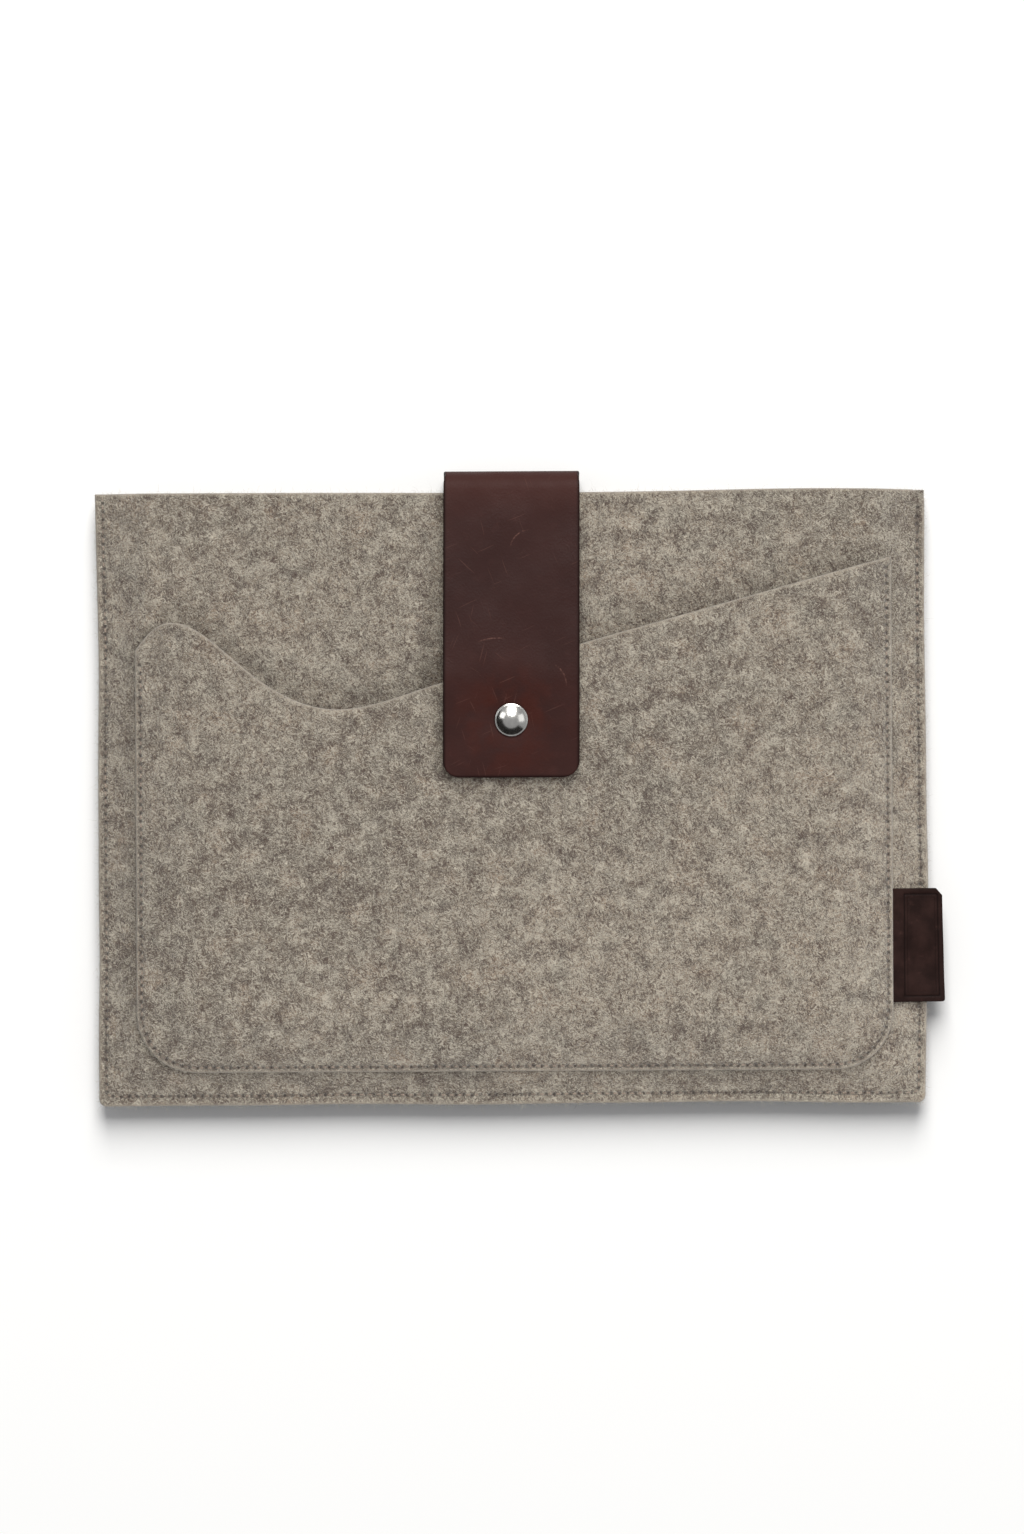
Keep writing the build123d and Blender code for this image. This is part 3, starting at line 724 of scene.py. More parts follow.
def new_piece(name, points, faces, material, marks=None):
    """A mesh object from points, faces and the flat coordinates of its points."""
    mesh = bpy.data.meshes.new(name)
    mesh.from_pydata(points.tolist(), [], faces)
    if marks is not None:
        attribute = mesh.attributes.new("flat", "FLOAT_VECTOR", "POINT")
        attribute.data.foreach_set("vector", marks.astype(np.float32).ravel())
    mesh.polygons.foreach_set("use_smooth", [True] * len(mesh.polygons))
    mesh.materials.append(material)
    mesh.update()
    piece = bpy.data.objects.new(name, mesh)
    bpy.context.scene.collection.objects.link(piece)
    return piece


def quads(index):
    """The four-sided faces of a grid of point numbers."""
    corners = [index[:-1, :-1], index[1:, :-1], index[1:, 1:], index[:-1, 1:]]
    return np.stack(corners, axis=-1).reshape(-1, 4)


def rim_of(grid):
    """A grid's border, anticlockwise."""
    return np.concatenate([grid[:, 0], grid[-1, 1:], grid[-2::-1, -1], grid[0, -2:0:-1]])


def closed_sheet(
    name, top, bottom, material, marks_top, marks_bottom, swell=0.25 * MM, edge=1.0,
):
    """A closed sheet between an upper and a lower grid of points. Its rim runs from one to the
    other in loops that swell outwards by swell times sin(pi t), and bears the edge's mark."""
    n, m = top.shape[:2]
    index = np.arange(n * m).reshape(n, m)
    faces = [quads(index), quads(index + n * m)[:, ::-1]]
    upper, lower = rim_of(top), rim_of(bottom)
    tangent = np.roll(upper, -1, 0) - np.roll(upper, 1, 0)
    thick = upper - lower
    out = np.cross(tangent, thick)
    out /= np.maximum(np.linalg.norm(out, axis=1, keepdims=True), 1e-12)
    count, shares = len(upper), (0.2, 0.5, 0.8)
    points = [top.reshape(-1, 3), bottom.reshape(-1, 3)]
    marks = [marks_top.reshape(-1, 3), marks_bottom.reshape(-1, 3)]
    loops = [rim_of(index)]
    rim_marks = rim_of(marks_top).copy()
    rim_marks[:, 2] = edge
    for k, t in enumerate(shares):
        points.append(upper * (1 - t) + lower * t + out * swell * math.sin(math.pi * t))
        marks.append(rim_marks)
        loops.append(2 * n * m + k * count + np.arange(count))
    loops.append(rim_of(index) + n * m)
    for a, b in zip(loops[:-1], loops[1:]):
        faces.append(np.stack([b, np.roll(b, -1), np.roll(a, -1), a], axis=1))
    return new_piece(
        name, np.concatenate(points), np.concatenate(faces).tolist(), material,
        np.concatenate(marks),
    )


def felt_marks(x, y, row, edge):
    """Flat coordinates of felt: distance from a row of stitches, place along it counted in
    stitches, and a bell from 1 at the cut edge down to 0."""
    pitch = bpy.context.scene.sleeve_sizes.stitch_pitch
    ends = np.where(x < 0, row.left_top, row.right_top)
    off = np.where(y > ends, FAR, inset(x, y, row))
    return stacked(off, along(x, y, row) / pitch, bell(edge, 0, 0.8 * MM))


def plain_marks(x):
    """Flat coordinates of felt far from any row of stitches."""
    return stacked(FAR, x, 0)


def lifted(x, y, z):
    """Places in plan and heights, as points, with the outline's wander added."""
    return stacked(*wander(x, y), z)


def tubes(count, rings, sides):
    """Faces of closed tubes whose points run tube by tube, ring by ring and round each ring:
    walls between neighbouring rings and a cap at both ends."""
    index = np.arange(count * rings * sides).reshape(count, rings, sides)
    turned = np.roll(index, -1, axis=2)
    walls = np.stack([index[:, :-1], turned[:, :-1], turned[:, 1:], index[:, 1:]], axis=-1)
    caps = np.concatenate([index[:, 0, ::-1], index[:, -1]])
    return walls.reshape(-1, 4).tolist() + caps.tolist()


def rings_round(side, sides):
    """Unit places round a line's points: cos(turn) along side plus sin(turn) along Z."""
    turn = np.arange(sides) * 2 * np.pi / sides
    return np.cos(turn)[:, None] * side + np.sin(turn)[:, None] * np.array([0, 0, 1.0])


def fibres(name, roots, headings, lifts, lengths, radius, material, seed):
    """Loose fibres: three-sided tubes along short curled lines. A fibre leaves its root along
    its heading, turns steadily, and rises by its lift times sin(pi t)."""
    random = np.random.default_rng(seed)
    count, rings = len(roots), 5
    t = np.linspace(0, 1, rings)
    curl = random.uniform(-2.4, 2.4, (count, 1))
    angle = headings[:, None] + curl * t
    step = lengths[:, None] / (rings - 1)
    x = roots[:, 0:1] + np.cumsum(np.cos(angle) * step, axis=1)
    y = roots[:, 1:2] + np.cumsum(np.sin(angle) * step, axis=1)
    stray = random.uniform(-1, 1, (count, 1)) * 0.1 * MM
    z = roots[:, 2:3] + lifts[:, None] * np.sin(np.pi * t) + stray * t
    line = stacked(x, y, z)
    side = stacked(-np.sin(angle), np.cos(angle), 0)
    thin = radius * (1 - 0.75 * t)[None, :, None, None]
    points = line[:, :, None, :] + rings_round(side[:, :, None, :], 3) * thin
    return new_piece(name, points.reshape(-1, 3), tubes(count, rings, 3), material)


def stitches(name, x, y, dx, dy, level, material, sink, facing=1.0):
    """A row of stitches: six-sided tubes that dive into the felt at both ends. A stitch's line
    is its length along the row, level plus an arch of cos(pi u / 2), and its radius is full in
    the middle and falls to a third at the ends."""
    sizes = bpy.context.scene.sleeve_sizes
    half, radius = sizes.stitch_pitch * sizes.stitch_share / 2, sizes.thread_radius
    u = np.array([-1.0, -0.86, -0.5, 0.0, 0.5, 0.86, 1.0])
    px = x[:, None] + dx[:, None] * u * half
    py = y[:, None] + dy[:, None] * u * half
    arch = np.cos(np.pi * u / 2) * 0.55 * MM - sink
    line = stacked(px, py, level(px, py) + facing * arch)
    across = stacked(-dy, dx, 0)
    width = radius * np.array([0.35, 0.75, 1.0, 1.05, 1.0, 0.75, 0.35])
    rings = rings_round(across[:, None, None, :], 6) * width[:, None, None]
    body = line[:, :, None, :] + rings
    body = lifted(body[..., 0], body[..., 1], body[..., 2])
    shape = body.shape[:3]
    marks = stacked(((u + 1) / 2)[:, None], np.arange(6) / 6, np.zeros(shape)).reshape(-1, 3)
    return new_piece(name, body.reshape(-1, 3), tubes(*shape), material, marks)


def settle(piece, body, slot, *nodes):
    """Lets a piece ride on a body and hides the nodes it stands for. Its slot is not used."""
    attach(piece, body)
    if nodes:
        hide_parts(*nodes)
    return piece


# ---------------------------------------------------------------- operators


class SLEEVE_OT_stage(bpy.types.Operator):
    """Adds the floor, the camera and the lights"""

    bl_idname = "sleeve.stage"
    bl_label = "Stage"

    def execute(self, context):
        scene = context.scene
        half = 12.0
        corners = np.array([(-half, -half, 0), (half, -half, 0), (half, half, 0), (-half, half, 0)])
        just_under = np.array([0, 0, 0.02 * MM])
        floor = new_piece("floor", corners - just_under, [(0, 1, 2, 3)], floor_finish())
        spared = bpy.data.collections.new("spared_by_the_glow")
        spared.objects.link(floor)
        spared.collection_objects[0].light_linking.link_state = "EXCLUDE"

        turn, wall_r = np.radians(np.linspace(140, 325, 24)), 9
        wall = stacked(wall_r * np.cos(turn), wall_r * np.sin(turn), np.array([[1.2], [12.0]]))
        index = np.arange(2 * len(turn)).reshape(2, -1)
        surround = new_piece(
            "dark_surround", wall.reshape(-1, 3), quads(index).tolist(), surround_finish()
        )
        for ray in ("camera", "diffuse", "transmission", "volume_scatter", "shadow"):
            setattr(surround, "visible_" + ray, False)

        camera = bpy.data.objects.new("camera", bpy.data.cameras.new("camera"))
        scene.collection.objects.link(camera)
        distance, frame_height = 2.6, 0.6477
        camera.location = (0.2 * MM, 13.3 * MM, distance)
        camera.rotation_euler = (0, 0, math.radians(-0.3))
        camera.data.sensor_fit = "VERTICAL"
        camera.data.sensor_height = 36
        camera.data.lens = 36 * (distance - SEAM_Z) / frame_height
        camera.data.clip_end = 60
        scene.camera = camera

        for name, place, size, power, colour in (
            ("key_softbox", (0.15, 3.45, 3.6), (2.4, 4.0), 300, (1.0, 0.99, 0.965)),
            ("side_glow", (1.6, 0.4, 1.9), (0.6, 0.6), 32, (1.0, 1.0, 1.0)),
            ("right_glow", (2.2, 0.5, 2.1), (1.6, 1.6), 6, (1.0, 1.0, 1.0)),
            ("left_glow", (-1.9, 1.1, 2.2), (1.2, 1.2), 8, (1.0, 1.0, 1.0)),
            ("front_glow", (-0.05, -1.1, 0.8), (1.0, 0.5), 13, (1.0, 1.0, 1.0)),
        ):
            light = bpy.data.lights.new(name, "AREA")
            light.shape = "RECTANGLE"
            light.size, light.size_y = size
            light.energy = power
            light.color = colour
            lamp = bpy.data.objects.new(name, light)
            scene.collection.objects.link(lamp)
            lamp.location = place
            tilt = math.atan2(math.hypot(place[0], place[1]), place[2])
            lamp.rotation_euler = (tilt, 0, math.atan2(place[0], -place[1]))
            lamp.visible_glossy = name in ("key_softbox", "right_glow", "left_glow")
            if name.endswith("glow"):
                lamp.light_linking.receiver_collection = spared

        world = bpy.data.worlds.new("soft_room")
        scene.world = world
        world.use_nodes = True
        background = world.node_tree.nodes["Background"]
        background.inputs["Color"].default_value = (0.97, 0.98, 1.0, 1)
        background.inputs["Strength"].default_value = 0.33
        scene.view_settings.view_transform = "Standard"
        return {"FINISHED"}


class SLEEVE_OT_panels(bpy.types.Operator):
    """Adds the two felt panels that are sewn together round three sides"""

    bl_idname = "sleeve.panels"
    bl_label = "Felt panels"

    def execute(self, context):
        felt, r = felt_finish(), context.scene.sleeve_sizes.edge_round
        xs = stations(PANEL.left, PANEL.right, 2.6 * MM, EDGE_STEPS)
        clip = np.clip((xs - (PANEL.right - 5 * MM)) / (5 * MM), 0, 1)
        width, height = PANEL.right - PANEL.left, MOUTH_Y - PANEL.bottom

        x, y = columns(xs, lower_edge(xs, PANEL), MOUTH_Y - 3.2 * MM * clip)
        edge = np.minimum(inset(x, y, PANEL), MOUTH_Y - y)
        level, fall = front_level(x, y), rounded(edge, r)
        top = level - fall - groove(x, y, SEAM_ROW)
        under = np.minimum(level - FELT + fall * 0.5, top - 0.8 * MM)
        marks = felt_marks(x, y, SEAM_ROW, edge)
        front = closed_sheet(
            "front_panel_felt", lifted(x, y, top), lifted(x, y, under), felt, marks, marks
        )
        settle(front, "sleeve", "felt", "front_panel")

        x, y = columns(xs, lower_edge(xs, PANEL), np.full_like(xs, MOUTH_Y))
        edge = np.minimum(inset(x, y, PANEL), MOUTH_Y - y)
        mirrored = 2 * SEAM_Z - front_level(x, y)
        level, fall = np.maximum(mirrored, 0) + STRAP * over_tail(x, y), rounded(edge, r)
        bottom = level + fall + groove(x, y, SEAM_ROW)
        inner = np.maximum(level + FELT - fall * 0.5, bottom + 0.8 * MM)
        back = closed_sheet(
            "back_panel_felt", lifted(x, y, inner), lifted(x, y, bottom), felt,
            plain_marks(x), felt_marks(x, y, SEAM_ROW, edge),
        )
        settle(back, "sleeve", "felt", "back_panel")
        return {"FINISHED"}


def wave(x):
    """Upper edge of the pocket, as y for each x: cubic curves with level ends at the hump and
    the dip, then a straight climb to the right."""
    slope = math.tan(math.radians(15.5))
    knots = np.array([POCKET.left, -143 * MM, -111 * MM, -73 * MM, -29 * MM, POCKET.right])
    heights = np.array([62.7, 74.4, 54.0, 37.6, 48.6, 0]) * MM
    heights[-1] = heights[-2] + slope * (knots[-1] - knots[-2])
    slopes = np.array([1.5, 0.0, -0.82, 0.0, slope, slope])
    k = np.clip(np.searchsorted(knots, x, side="right") - 1, 0, len(knots) - 2)
    step = knots[k + 1] - knots[k]
    t = (x - knots[k]) / step
    return (
        (2 * t**3 - 3 * t**2 + 1) * heights[k] + (t**3 - 2 * t**2 + t) * step * slopes[k]
        + (3 * t**2 - 2 * t**3) * heights[k + 1] + (t**3 - t**2) * step * slopes[k + 1]
    )


class SLEEVE_OT_pocket(bpy.types.Operator):
    """Adds the felt pocket with its wavy upper edge"""

    bl_idname = "sleeve.pocket"
    bl_label = "Front pocket"

    def execute(self, context):
        felt = felt_finish()
        turn = POCKET.radius * (1 - np.cos(np.linspace(0, np.pi / 2, 26)))
        count = int(round((POCKET.right - POCKET.left - 2 * POCKET.radius) / (2.6 * MM)))
        middle = np.linspace(POCKET.left + POCKET.radius, POCKET.right - POCKET.radius, count + 1)
        xs = np.concatenate([POCKET.left + turn[:-1], middle, POCKET.right - turn[:-1][::-1]])
        x, y = columns(xs, lower_edge(xs, POCKET), wave(xs))
        slant = np.sqrt(1 + np.gradient(wave(xs), xs) ** 2)[:, None]
        edge = np.minimum(inset(x, y, POCKET), (wave(x) - y) / slant)
        level, fall = pocket_level(x, y), rounded(edge, context.scene.sleeve_sizes.edge_round)
        top = level - fall - groove(x, y, POCKET_ROW)
        under = np.minimum(level - FELT + fall * 0.4, top - 0.8 * MM)
        sunk = np.exp(-(np.hypot(x, y - SNAP_Y) / (6.2 * MM)) ** 6)
        top = top - 1.0 * MM * sunk
        marks = felt_marks(x, y, POCKET_ROW, edge)
        pocket = closed_sheet(
            "front_pocket_felt", stacked(x, y, top), stacked(x, y, under), felt,
            marks, plain_marks(x),
        )
        settle(pocket, "sleeve", "felt", "front_pocket")
        area = float(np.trapz(wave(xs) - lower_edge(xs, POCKET), xs))
        POCKET.right - POCKET.left
        return {"FINISHED"}


class SLEEVE_OT_stitches(bpy.types.Operator):
    """Adds the rows of stitches round the panels, round the pocket and on the strap's tail"""

    bl_idname = "sleeve.stitches"
    bl_label = "Stitches"

    def execute(self, context):
        thread = thread_finish()
        pitch = context.scene.sleeve_sizes.stitch_pitch
        depth = context.scene.sleeve_sizes.groove_depth
        for row, level, facing, sewn, side in (
            (SEAM_ROW, lambda x, y: front_level(x, y) - depth, 1, "seam", "front"),
            (SEAM_ROW, lambda x, y: 2 * SEAM_Z - front_level(x, y) + depth, -1, "seam", "back"),
            (POCKET_ROW, lambda x, y: pocket_level(x, y) - depth, 1, "pocket", "front"),
            (POCKET_ROW, lambda x, y: front_level(x, y) - FELT, -1, "pocket", "inside"),
        ):
            x, y, dx, dy = outline_point(np.arange(0, outline_length(row), pitch), row)
            name = f"{sewn}_stitches_{side}"
            piece = stitches(name, x, y, dx, dy, level, thread, 0.22 * MM, facing)
            settle(piece, "sleeve", "thread", f"{sewn}_thread_{side}")

        low, high = TAIL_ROW_LOW, TAIL_ROW_HIGH
        across = np.arange(low[0] + pitch / 2, high[0], pitch)
        up = np.arange(low[1] + pitch / 2, high[1], pitch)
        x = np.concatenate([across, across, np.full_like(up, low[0]), np.full_like(up, high[0])])
        y = np.concatenate([np.full_like(across, low[1]), np.full_like(across, high[1]), up, up])
        x = leaned(x, y)
        dx = np.concatenate([np.ones(2 * len(across)), np.zeros(2 * len(up))])
        for z, facing, side in ((0.62 * MM, -1, "back"), (FELT + STRAP, 1, "inside")):
            level = lambda px, py, z=z: np.full_like(px, z)
            name = f"strap_stitches_{side}"
            piece = stitches(name, x, y, dx, 1 - dx, level, thread, 0.25 * MM, facing)
            settle(piece, "sleeve", "thread", f"strap_thread_{side}")
        return {"FINISHED"}


# ---------------------------------------------------------------- strap


def rounded_path(corners, radii, step=0.25 * MM):
    """A line through corners with round bends: straight runs joined by arcs that touch both
    runs at r tan(turn / 2) from the corner."""
    corners = np.array(corners)
    out = [corners[:1]]
    for before, at, after, r in zip(corners[:-2], corners[1:-1], corners[2:], radii):
        a = (before - at) / np.linalg.norm(before - at)
        b = (after - at) / np.linalg.norm(after - at)
        half_turn = (math.pi - math.acos(float(a @ b))) / 2
        reach = r * math.tan(half_turn)
        bisector = (a + b) / np.linalg.norm(a + b)
        centre = at + bisector * r / math.cos(half_turn)
        first, last = at + a * reach - centre, at + b * reach - centre
        omega = 2 * half_turn
        t = np.linspace(0, 1, max(8, int(omega * r / step)))[:, None]
        spoke = np.sin((1 - t) * omega) * first + np.sin(t * omega) * last
        out.append(centre + spoke / math.sin(omega))
    out.append(corners[-1:])
    return np.concatenate(out)


def lengths_of(path):
    """Length of a line up to each of its points."""
    return np.concatenate([[0], np.cumsum(np.linalg.norm(np.diff(path, axis=0), axis=1))])


def along_path(s, path):
    """Places at lengths s along a line, then the unit normals to its left there."""
    a, b = (np.interp(s, lengths_of(path), path[:, k]) for k in (0, 1))
    step_a, step_b = np.gradient(a, s), np.gradient(b, s)
    size = np.hypot(step_a, step_b)
    return a, b, -step_b / size, step_a / size


STRAP_TOP_Z = FLAP_HIGH[2]
STRAP_SLOPE = (STRAP_TOP_Z - STRAP_AT_MOUTH_Z) / (MOUTH_Y - STRAP_BEND_Y)
STRAP_CORNER_Z = STRAP_AT_MOUTH_Z - STRAP_SLOPE * (FLAP_HIGH[1] - MOUTH_Y)
STRAP_PATH = rounded_path(
    [
        (TAIL_LOW[1], 0), (TAIL_HIGH[1], 0), (TAIL_HIGH[1], STRAP_CORNER_Z),
        (STRAP_BEND_Y, STRAP_TOP_Z), (FLAP_LOW[1], STRAP_TOP_Z),
    ],
    (STRAP_FOLD_R, STRAP_FOLD_R, STRAP_BEND_R),
)
STRAP_S = lengths_of(STRAP_PATH)
STRAP_LENGTH = float(STRAP_S[-1])
STRAP_SNAP = STRAP_LENGTH - (SNAP_Y - FLAP_LOW[1])
STRAP_CREST = float(np.interp(STRAP_CORNER_Z - 3 * MM, STRAP_PATH[:, 1], STRAP_S))


def leaned(x, y):
    """The strap is sewn on a touch askew: places shift sideways by a small share of their
    distance from the snap."""
    return x + 0.006 * (y - SNAP_Y)


def on_strap(x, y):
    """Place across and along the strap of a point seen from the front."""
    return (x, STRAP_LENGTH - (y - FLAP_LOW[1]), 0)


SCRATCH_ARCS = (
    (on_strap(-6 * MM, 47 * MM), 20.5 * MM, on_strap(-8.5 * MM, 67.5 * MM)),
    (on_strap(8 * MM, 105 * MM), 8.5 * MM, on_strap(2 * MM, 111.5 * MM)),
    (on_strap(14 * MM, 48 * MM), 9 * MM, on_strap(22.5 * MM, 53 * MM)),
)


class SLEEVE_OT_strap(bpy.types.Operator):
    """Adds the leather strap from its sewn tail round the mouth to its free end"""

    bl_idname = "sleeve.strap"
    bl_label = "Strap"

    def execute(self, context):
        leather = strap_finish()
        corner = STRAP_END_R * (1 - np.cos(np.linspace(0, np.pi / 2, 14)))
        edges = (0, 0.12, 0.3, 0.55, 0.9, 1.5, 2.4, 2.8, 3.2, 3.6, 4.6, 6)
        turn_s = STRAP_LENGTH - STRAP_END_R
        s = stations(0, turn_s, 1.0 * MM, edges)
        s = np.concatenate([s[s < turn_s - 0.4 * MM], STRAP_LENGTH - corner[::-1]])
        half = FLAP_HIGH[0]
        short = np.clip(s - turn_s, 0, STRAP_END_R)
        reach = half - STRAP_END_R + np.sqrt(np.maximum(STRAP_END_R**2 - short**2, 0))
        reach = reach - 0.8 * MM * bell(s, STRAP_CREST, 2.5 * MM)
        across = stations(-1, 1, 2.2 * MM / half, [e / half for e in edges])
        w = across[:, None] * reach[None, :]
        along_it = np.broadcast_to(s[None, :], w.shape)

        corner_x = np.maximum(np.abs(w) - (half - STRAP_END_R), 0)
        corner_s = np.maximum(along_it - turn_s, 0)
        in_corner = (corner_x > 0) & (corner_s > 0)
        edge = np.minimum(half - np.abs(w), np.minimum(STRAP_LENGTH - along_it, along_it))
        edge = np.where(in_corner, STRAP_END_R - np.hypot(corner_x, corner_s), edge)
        fall = rounded(edge, 0.6 * MM)

        # The leather wavers only between its sewn tail and the snap
        waver = 0.22 * MM * ripple(w, along_it, 0.05, 11) * np.clip((along_it - 0.095) / 0.03, 0, 1)
        waver = waver * np.clip((STRAP_SNAP - 0.012 - along_it) / 0.02, 0, 1)
        from_snap = np.hypot(w, along_it - STRAP_SNAP)
        sunk = 0.3 * MM * np.exp(-((from_snap / (SNAP_R + 0.5 * MM)) ** 10))
        dimple = 0.25 * MM * np.exp(-((from_snap / (SNAP_R * 1.35)) ** 4))
        row_x = TAIL_ROW_HIGH[0]
        first, last = TAIL_ROW_LOW[1] - TAIL_LOW[1], TAIL_ROW_HIGH[1] - TAIL_LOW[1]
        past_ends = np.maximum(along_it - last, first - along_it)
        off_sides = np.maximum(np.abs(np.abs(w) - row_x), past_ends)
        off_ends = np.minimum(np.abs(along_it - first), np.abs(along_it - last))
        off_ends = np.maximum(off_ends, np.abs(w) - row_x)
        channel = 0.5 * MM * bell(np.maximum(np.minimum(off_sides, off_ends), 0), 0, 0.75 * MM)

        outer_in = fall + channel + sunk + dimple - waver
        inner_in = STRAP - fall * 0.7 - waver
        py, pz, inward_y, inward_z = along_path(s, STRAP_PATH)
        faces = []
        for depth in (inner_in, outer_in):
            y = py + inward_y * depth
            faces.append(stacked(leaned(w, y), y, pz + inward_z * depth))
        strap = closed_sheet(
            "leather_strap", *faces, leather, stacked(w, along_it, 1), stacked(w, along_it, 0),
            swell=0.12 * MM, edge=0.0,
        )
        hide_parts("strap_tail", "strap_flap")
        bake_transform(strap)
        return {"FINISHED"}


class SLEEVE_OT_snap(bpy.types.Operator):
    """Adds the polished snap cap and finishes the snap's other metal pieces"""

    bl_idname = "sleeve.snap"
    bl_label = "Snap"

    def execute(self, context):
        polished = nickel_finish("polished_nickel", 0.16, 1.0)
        dull = nickel_finish("dull_nickel", 0.24, 0.85)
        wire = nickel_finish("spring_steel", 0.2, 0.6)
        low, high = CAP_LOW[2], CAP_HIGH[2]
        t, rim = np.linspace(0, 1, 40), np.linspace(0, np.pi, 9)
        rim_r, dome_r, dome_low = 0.4 * MM, SNAP_R - 0.62 * MM, low + 0.75 * MM
        radius = np.concatenate([
            [SNAP_R - 1.4 * MM], SNAP_R - rim_r + rim_r * np.sin(rim), dome_r * (1 - t),
        ])
        height = np.concatenate([
            [low + 0.15 * MM], low + rim_r - rim_r * np.cos(rim) + 0.05 * MM,
            dome_low + (high - dome_low) * (1 - (1 - t) ** 2) ** 0.85,
        ])
        radius[-1] = 0.02 * MM
        turn = np.linspace(0, 2 * np.pi, 96, endpoint=False)
        spoke = radius[:, None]
        points = stacked(spoke * np.cos(turn), SNAP_Y + spoke * np.sin(turn), height[:, None])
        index = np.arange(points.size // 3).reshape(len(radius), len(turn))
        wrapped = np.concatenate([index, index[:, :1]], axis=1)
        faces = quads(wrapped)[:, ::-1].tolist() + [index[-1].tolist(), index[0, ::-1].tolist()]
        cap = new_piece("domed_snap_cap", points.reshape(-1, 3), faces, polished)
        settle(cap, "strap", "snap_metal", "snap_cap")
        for node, metal in (
            ("snap_cap_post", dull), ("snap_socket", dull), ("snap_spring", wire),
            ("snap_stud", polished), ("snap_eyelet", dull),
        ):
            for slot in frame["nodes"][node].material_slots:
                slot.material = metal
        return {"FINISHED"}


class SLEEVE_OT_tab(bpy.types.Operator):
    """Adds the leather tab that is sewn in under the pocket's right edge"""

    bl_idname = "sleeve.tab"
    bl_label = "Side tab"

    def execute(self, context):
        leather = tab_finish()
        root_x, root_z = TAB_LOW[0], TAB_JOINT["pos_m"][2]
        end_x, bottom_y, top_y = TAB_HIGH[0], TAB_LOW[1], TAB_HIGH[1]
        drop = math.atan2(RISE, SLOPE_RUN)
        path = rounded_path(
            [
                (TUCK_LOW[0], root_z + math.tan(drop) * (root_x - TUCK_LOW[0]) - 0.15 * MM),
                (root_x, root_z - 0.15 * MM),
                (end_x, TAB_LOW[2] + TAB),
            ],
            (30 * MM,),
        )
        total = float(lengths_of(path)[-1])
        edges = (0, 0.1, 0.25, 0.5, 0.8, 1.2, 1.7, 2.1, 2.5, 2.9, 3.4)
        s = stations(0, total, 0.45 * MM, edges)
        clipped, corner_r = 3 * MM, 1.2 * MM
        high = top_y - np.clip(s - (total - clipped), 0, clipped)
        low = bottom_y + rounded(total - s, corner_r)
        share = stations(0, 1, 0.012, np.array(edges) / (top_y - bottom_y))
        y = low[:, None] + (high - low)[:, None] * share[None, :]
        along_it = np.broadcast_to(s[:, None], y.shape)
        edge = np.minimum(np.minimum(y - low[:, None], high[:, None] - y), total - along_it)
        fall = rounded(edge, 0.45 * MM)

        out_y = np.minimum(y - bottom_y, top_y - y)
        visible = np.minimum(total - along_it, along_it - (total - 20.2 * MM))
        border = np.minimum(out_y, visible)
        pressed = 0.32 * MM
        tooling = pressed * bell(border, 2.4 * MM, 0.36 * MM)
        tooling = tooling + 0.2 * MM * bell(border, 3.8 * MM, 0.24 * MM)
        bow = 0.35 * MM * ripple(along_it, y, 0.03, 21)
        bow = bow * np.clip((along_it - 10 * MM) / (8 * MM), 0, 1)
        askew = 0.02 * ((top_y + bottom_y) / 2 - y) - 0.7 * MM
        askew = askew * np.clip(along_it / total, 0, 1) ** 3
        px, pz, up_x, up_z = (part[:, None] for part in along_path(s, path))
        faces = [
            stacked(px - depth * up_x + askew, y, pz - depth * up_z)
            for depth in (fall + tooling - bow, TAB - fall - bow)
        ]
        tab = closed_sheet(
            "leather_tab", *faces, leather, stacked(y, along_it, -tooling / pressed),
            stacked(y, along_it, 0), swell=0.1 * MM,
        )
        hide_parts("label_tuck", "label_flap")
        root_x - 1.6 * MM
        root_x + 2.4 * MM
        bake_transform(tab)
        return {"FINISHED"}


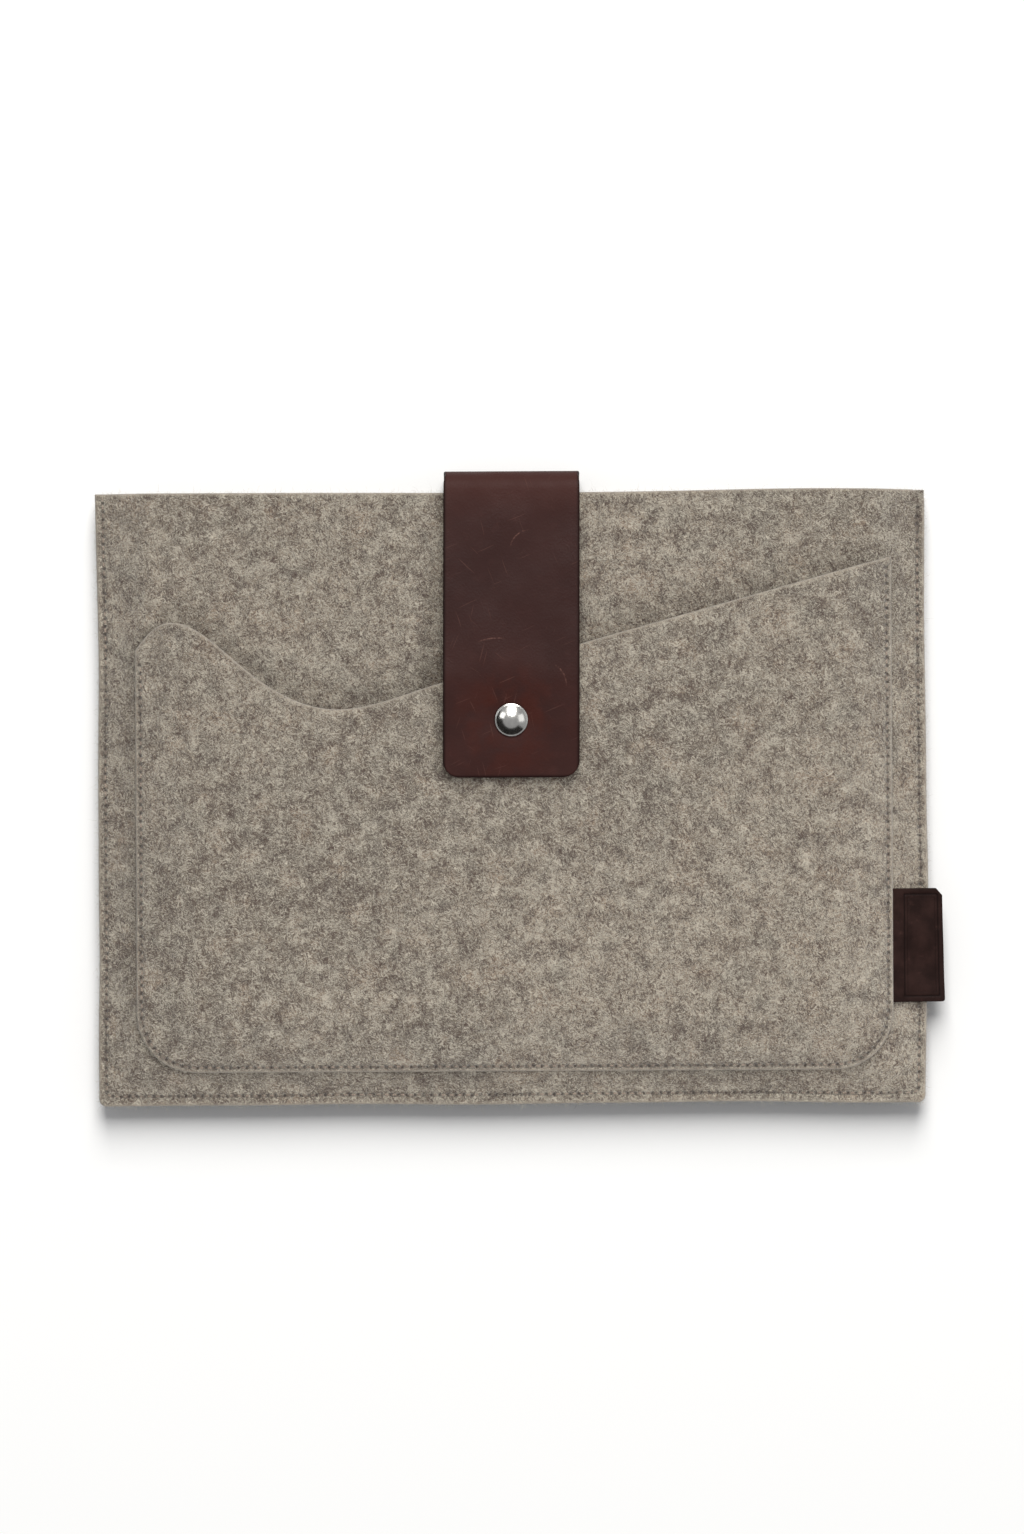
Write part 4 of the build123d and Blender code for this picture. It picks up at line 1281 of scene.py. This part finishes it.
class SLEEVE_OT_fuzz(bpy.types.Operator):
    """Adds loose wool fibres on the felt's front and along its cut edges"""

    bl_idname = "sleeve.fuzz"
    bl_label = "Felt fuzz"

    def execute(self, context):
        sizes = context.scene.sleeve_sizes
        finishes = {
            "light": fibre_finish("light_wool_fibre", shade(colour_of("felt_light"), 1.25)),
            "dark": fibre_finish("dark_wool_fibre", shade(colour_of("felt_dark"), 0.6)),
        }
        tab_y = (TAB_LOW[1] + TAB_HIGH[1]) / 2
        for tone, seed, share in (("light", 31, 0.6), ("dark", 32, 0.4)):
            random = np.random.default_rng(seed)
            count = int(sizes.surface_fibres * share)
            x = random.uniform(PANEL.left + 2 * MM, PANEL.right - 2 * MM, count)
            y = random.uniform(PANEL.bottom + 2 * MM, MOUTH_Y - 2 * MM, count)
            pocket_top = wave(np.clip(x, POCKET.left, POCKET.right)) - 1 * MM
            on_pocket = (inset(x, y, POCKET) > 1 * MM) & (y < pocket_top)
            clear = (np.abs(x) > FLAP_HIGH[0] + 2 * MM) | (y < FLAP_LOW[1] - 2 * MM)
            off_tab = (y < TAB_LOW[1] - 3 * MM) | (y > TAB_HIGH[1] + 3 * MM)
            clear &= (x < POCKET.right - 3 * MM) | off_tab
            z = np.where(on_pocket, pocket_level(x, y), front_level(x, y)) - 0.05 * MM
            roots = stacked(x, y, z)[clear]
            kept = len(roots)
            lengths = random.gamma(5.0, 0.55 * MM, kept)
            piece = fibres(
                f"{tone}_surface_fibres", roots, random.uniform(0, 2 * np.pi, kept),
                random.gamma(2.0, 0.09 * MM, kept), lengths, 0.08 * MM, finishes[tone], seed,
            )
            settle(piece, "sleeve", "felt")

        half = 0.5 * FELT
        for name, outline, level, seed in (
            ("front_edge_fibres", PANEL, lambda x, y: front_level(x, y) - half, 41),
            ("back_edge_fibres", PANEL, lambda x, y: 2 * SEAM_Z - front_level(x, y) + half, 42),
            ("pocket_edge_fibres", POCKET, lambda x, y: pocket_level(x, y) - half, 43),
        ):
            random = np.random.default_rng(seed)
            around = outline_length(outline)
            count = int(around * sizes.edge_fibres)
            x, y, dx, dy = outline_point(random.uniform(0, around, count), outline)
            z = level(x, y) + random.uniform(-0.45, 0.45, count) * FELT
            heading = np.arctan2(-dx, dy) + random.normal(0, 0.9, count)
            if outline is PANEL:
                x, y = wander(x, y)
            roots = stacked(x, y, z)
            top_count = int(0.4 * count)
            tx = random.uniform(outline.left, outline.right, top_count)
            ty = wave(tx) if outline is POCKET else np.full(top_count, MOUTH_Y)
            tz = level(tx, ty) + random.uniform(-0.45, 0.45, top_count) * FELT
            clear = np.abs(tx) > FLAP_HIGH[0] + 1 * MM
            roots = np.concatenate([roots, stacked(tx, ty, tz)[clear]])
            upward = math.pi / 2 + random.normal(0, 0.9, int(clear.sum()))
            heading = np.concatenate([heading, upward])
            by_tab = np.abs(roots[:, 1] - tab_y) < 27 * MM
            by_tab &= roots[:, 0] > POCKET.right - 2 * MM
            roots, heading = roots[~by_tab], heading[~by_tab]
            kept = len(roots)
            piece = fibres(
                name, roots, heading, random.normal(0, 0.12 * MM, kept),
                random.gamma(3.0, 0.38 * MM, kept), 0.04 * MM, finishes["light"], seed,
            )
            settle(piece, "sleeve", "felt")
        return {"FINISHED"}


class SLEEVE_PT_sidebar(bpy.types.Panel):
    """Lists the sleeve's settings and build steps"""

    bl_label = "Laptop Sleeve"
    bl_idname = "SLEEVE_PT_sidebar"
    bl_space_type = "VIEW_3D"
    bl_region_type = "UI"
    bl_category = "Sleeve"

    def draw(self, context):
        for group in (context.scene.sleeve_sizes, context.scene.sleeve_colours):
            box = self.layout.box()
            for name in group.__annotations__:
                box.prop(group, name)
        for operator in OPERATORS:
            self.layout.operator(operator.bl_idname)


GROUPS = (SleeveSizes, SleeveColours)
OPERATORS = (
    SLEEVE_OT_stage, SLEEVE_OT_panels, SLEEVE_OT_pocket, SLEEVE_OT_stitches,
    SLEEVE_OT_strap, SLEEVE_OT_snap, SLEEVE_OT_tab, SLEEVE_OT_fuzz,
)


def register():
    """Adds the settings, the build steps and the panel."""
    for cls in (*GROUPS, *OPERATORS, SLEEVE_PT_sidebar):
        bpy.utils.register_class(cls)
    bpy.types.Scene.sleeve_sizes = PointerProperty(type=SleeveSizes)
    bpy.types.Scene.sleeve_colours = PointerProperty(type=SleeveColours)


def unregister():
    """Takes away what register() added."""
    del bpy.types.Scene.sleeve_colours
    del bpy.types.Scene.sleeve_sizes
    for cls in (SLEEVE_PT_sidebar, *reversed(OPERATORS), *reversed(GROUPS)):
        bpy.utils.unregister_class(cls)


def main():
    """Builds the whole sleeve."""
    register()
    for operator in OPERATORS:
        group, name = operator.bl_idname.split(".")
        getattr(getattr(bpy.ops, group), name)()


if __name__ == "__main__":
    main()
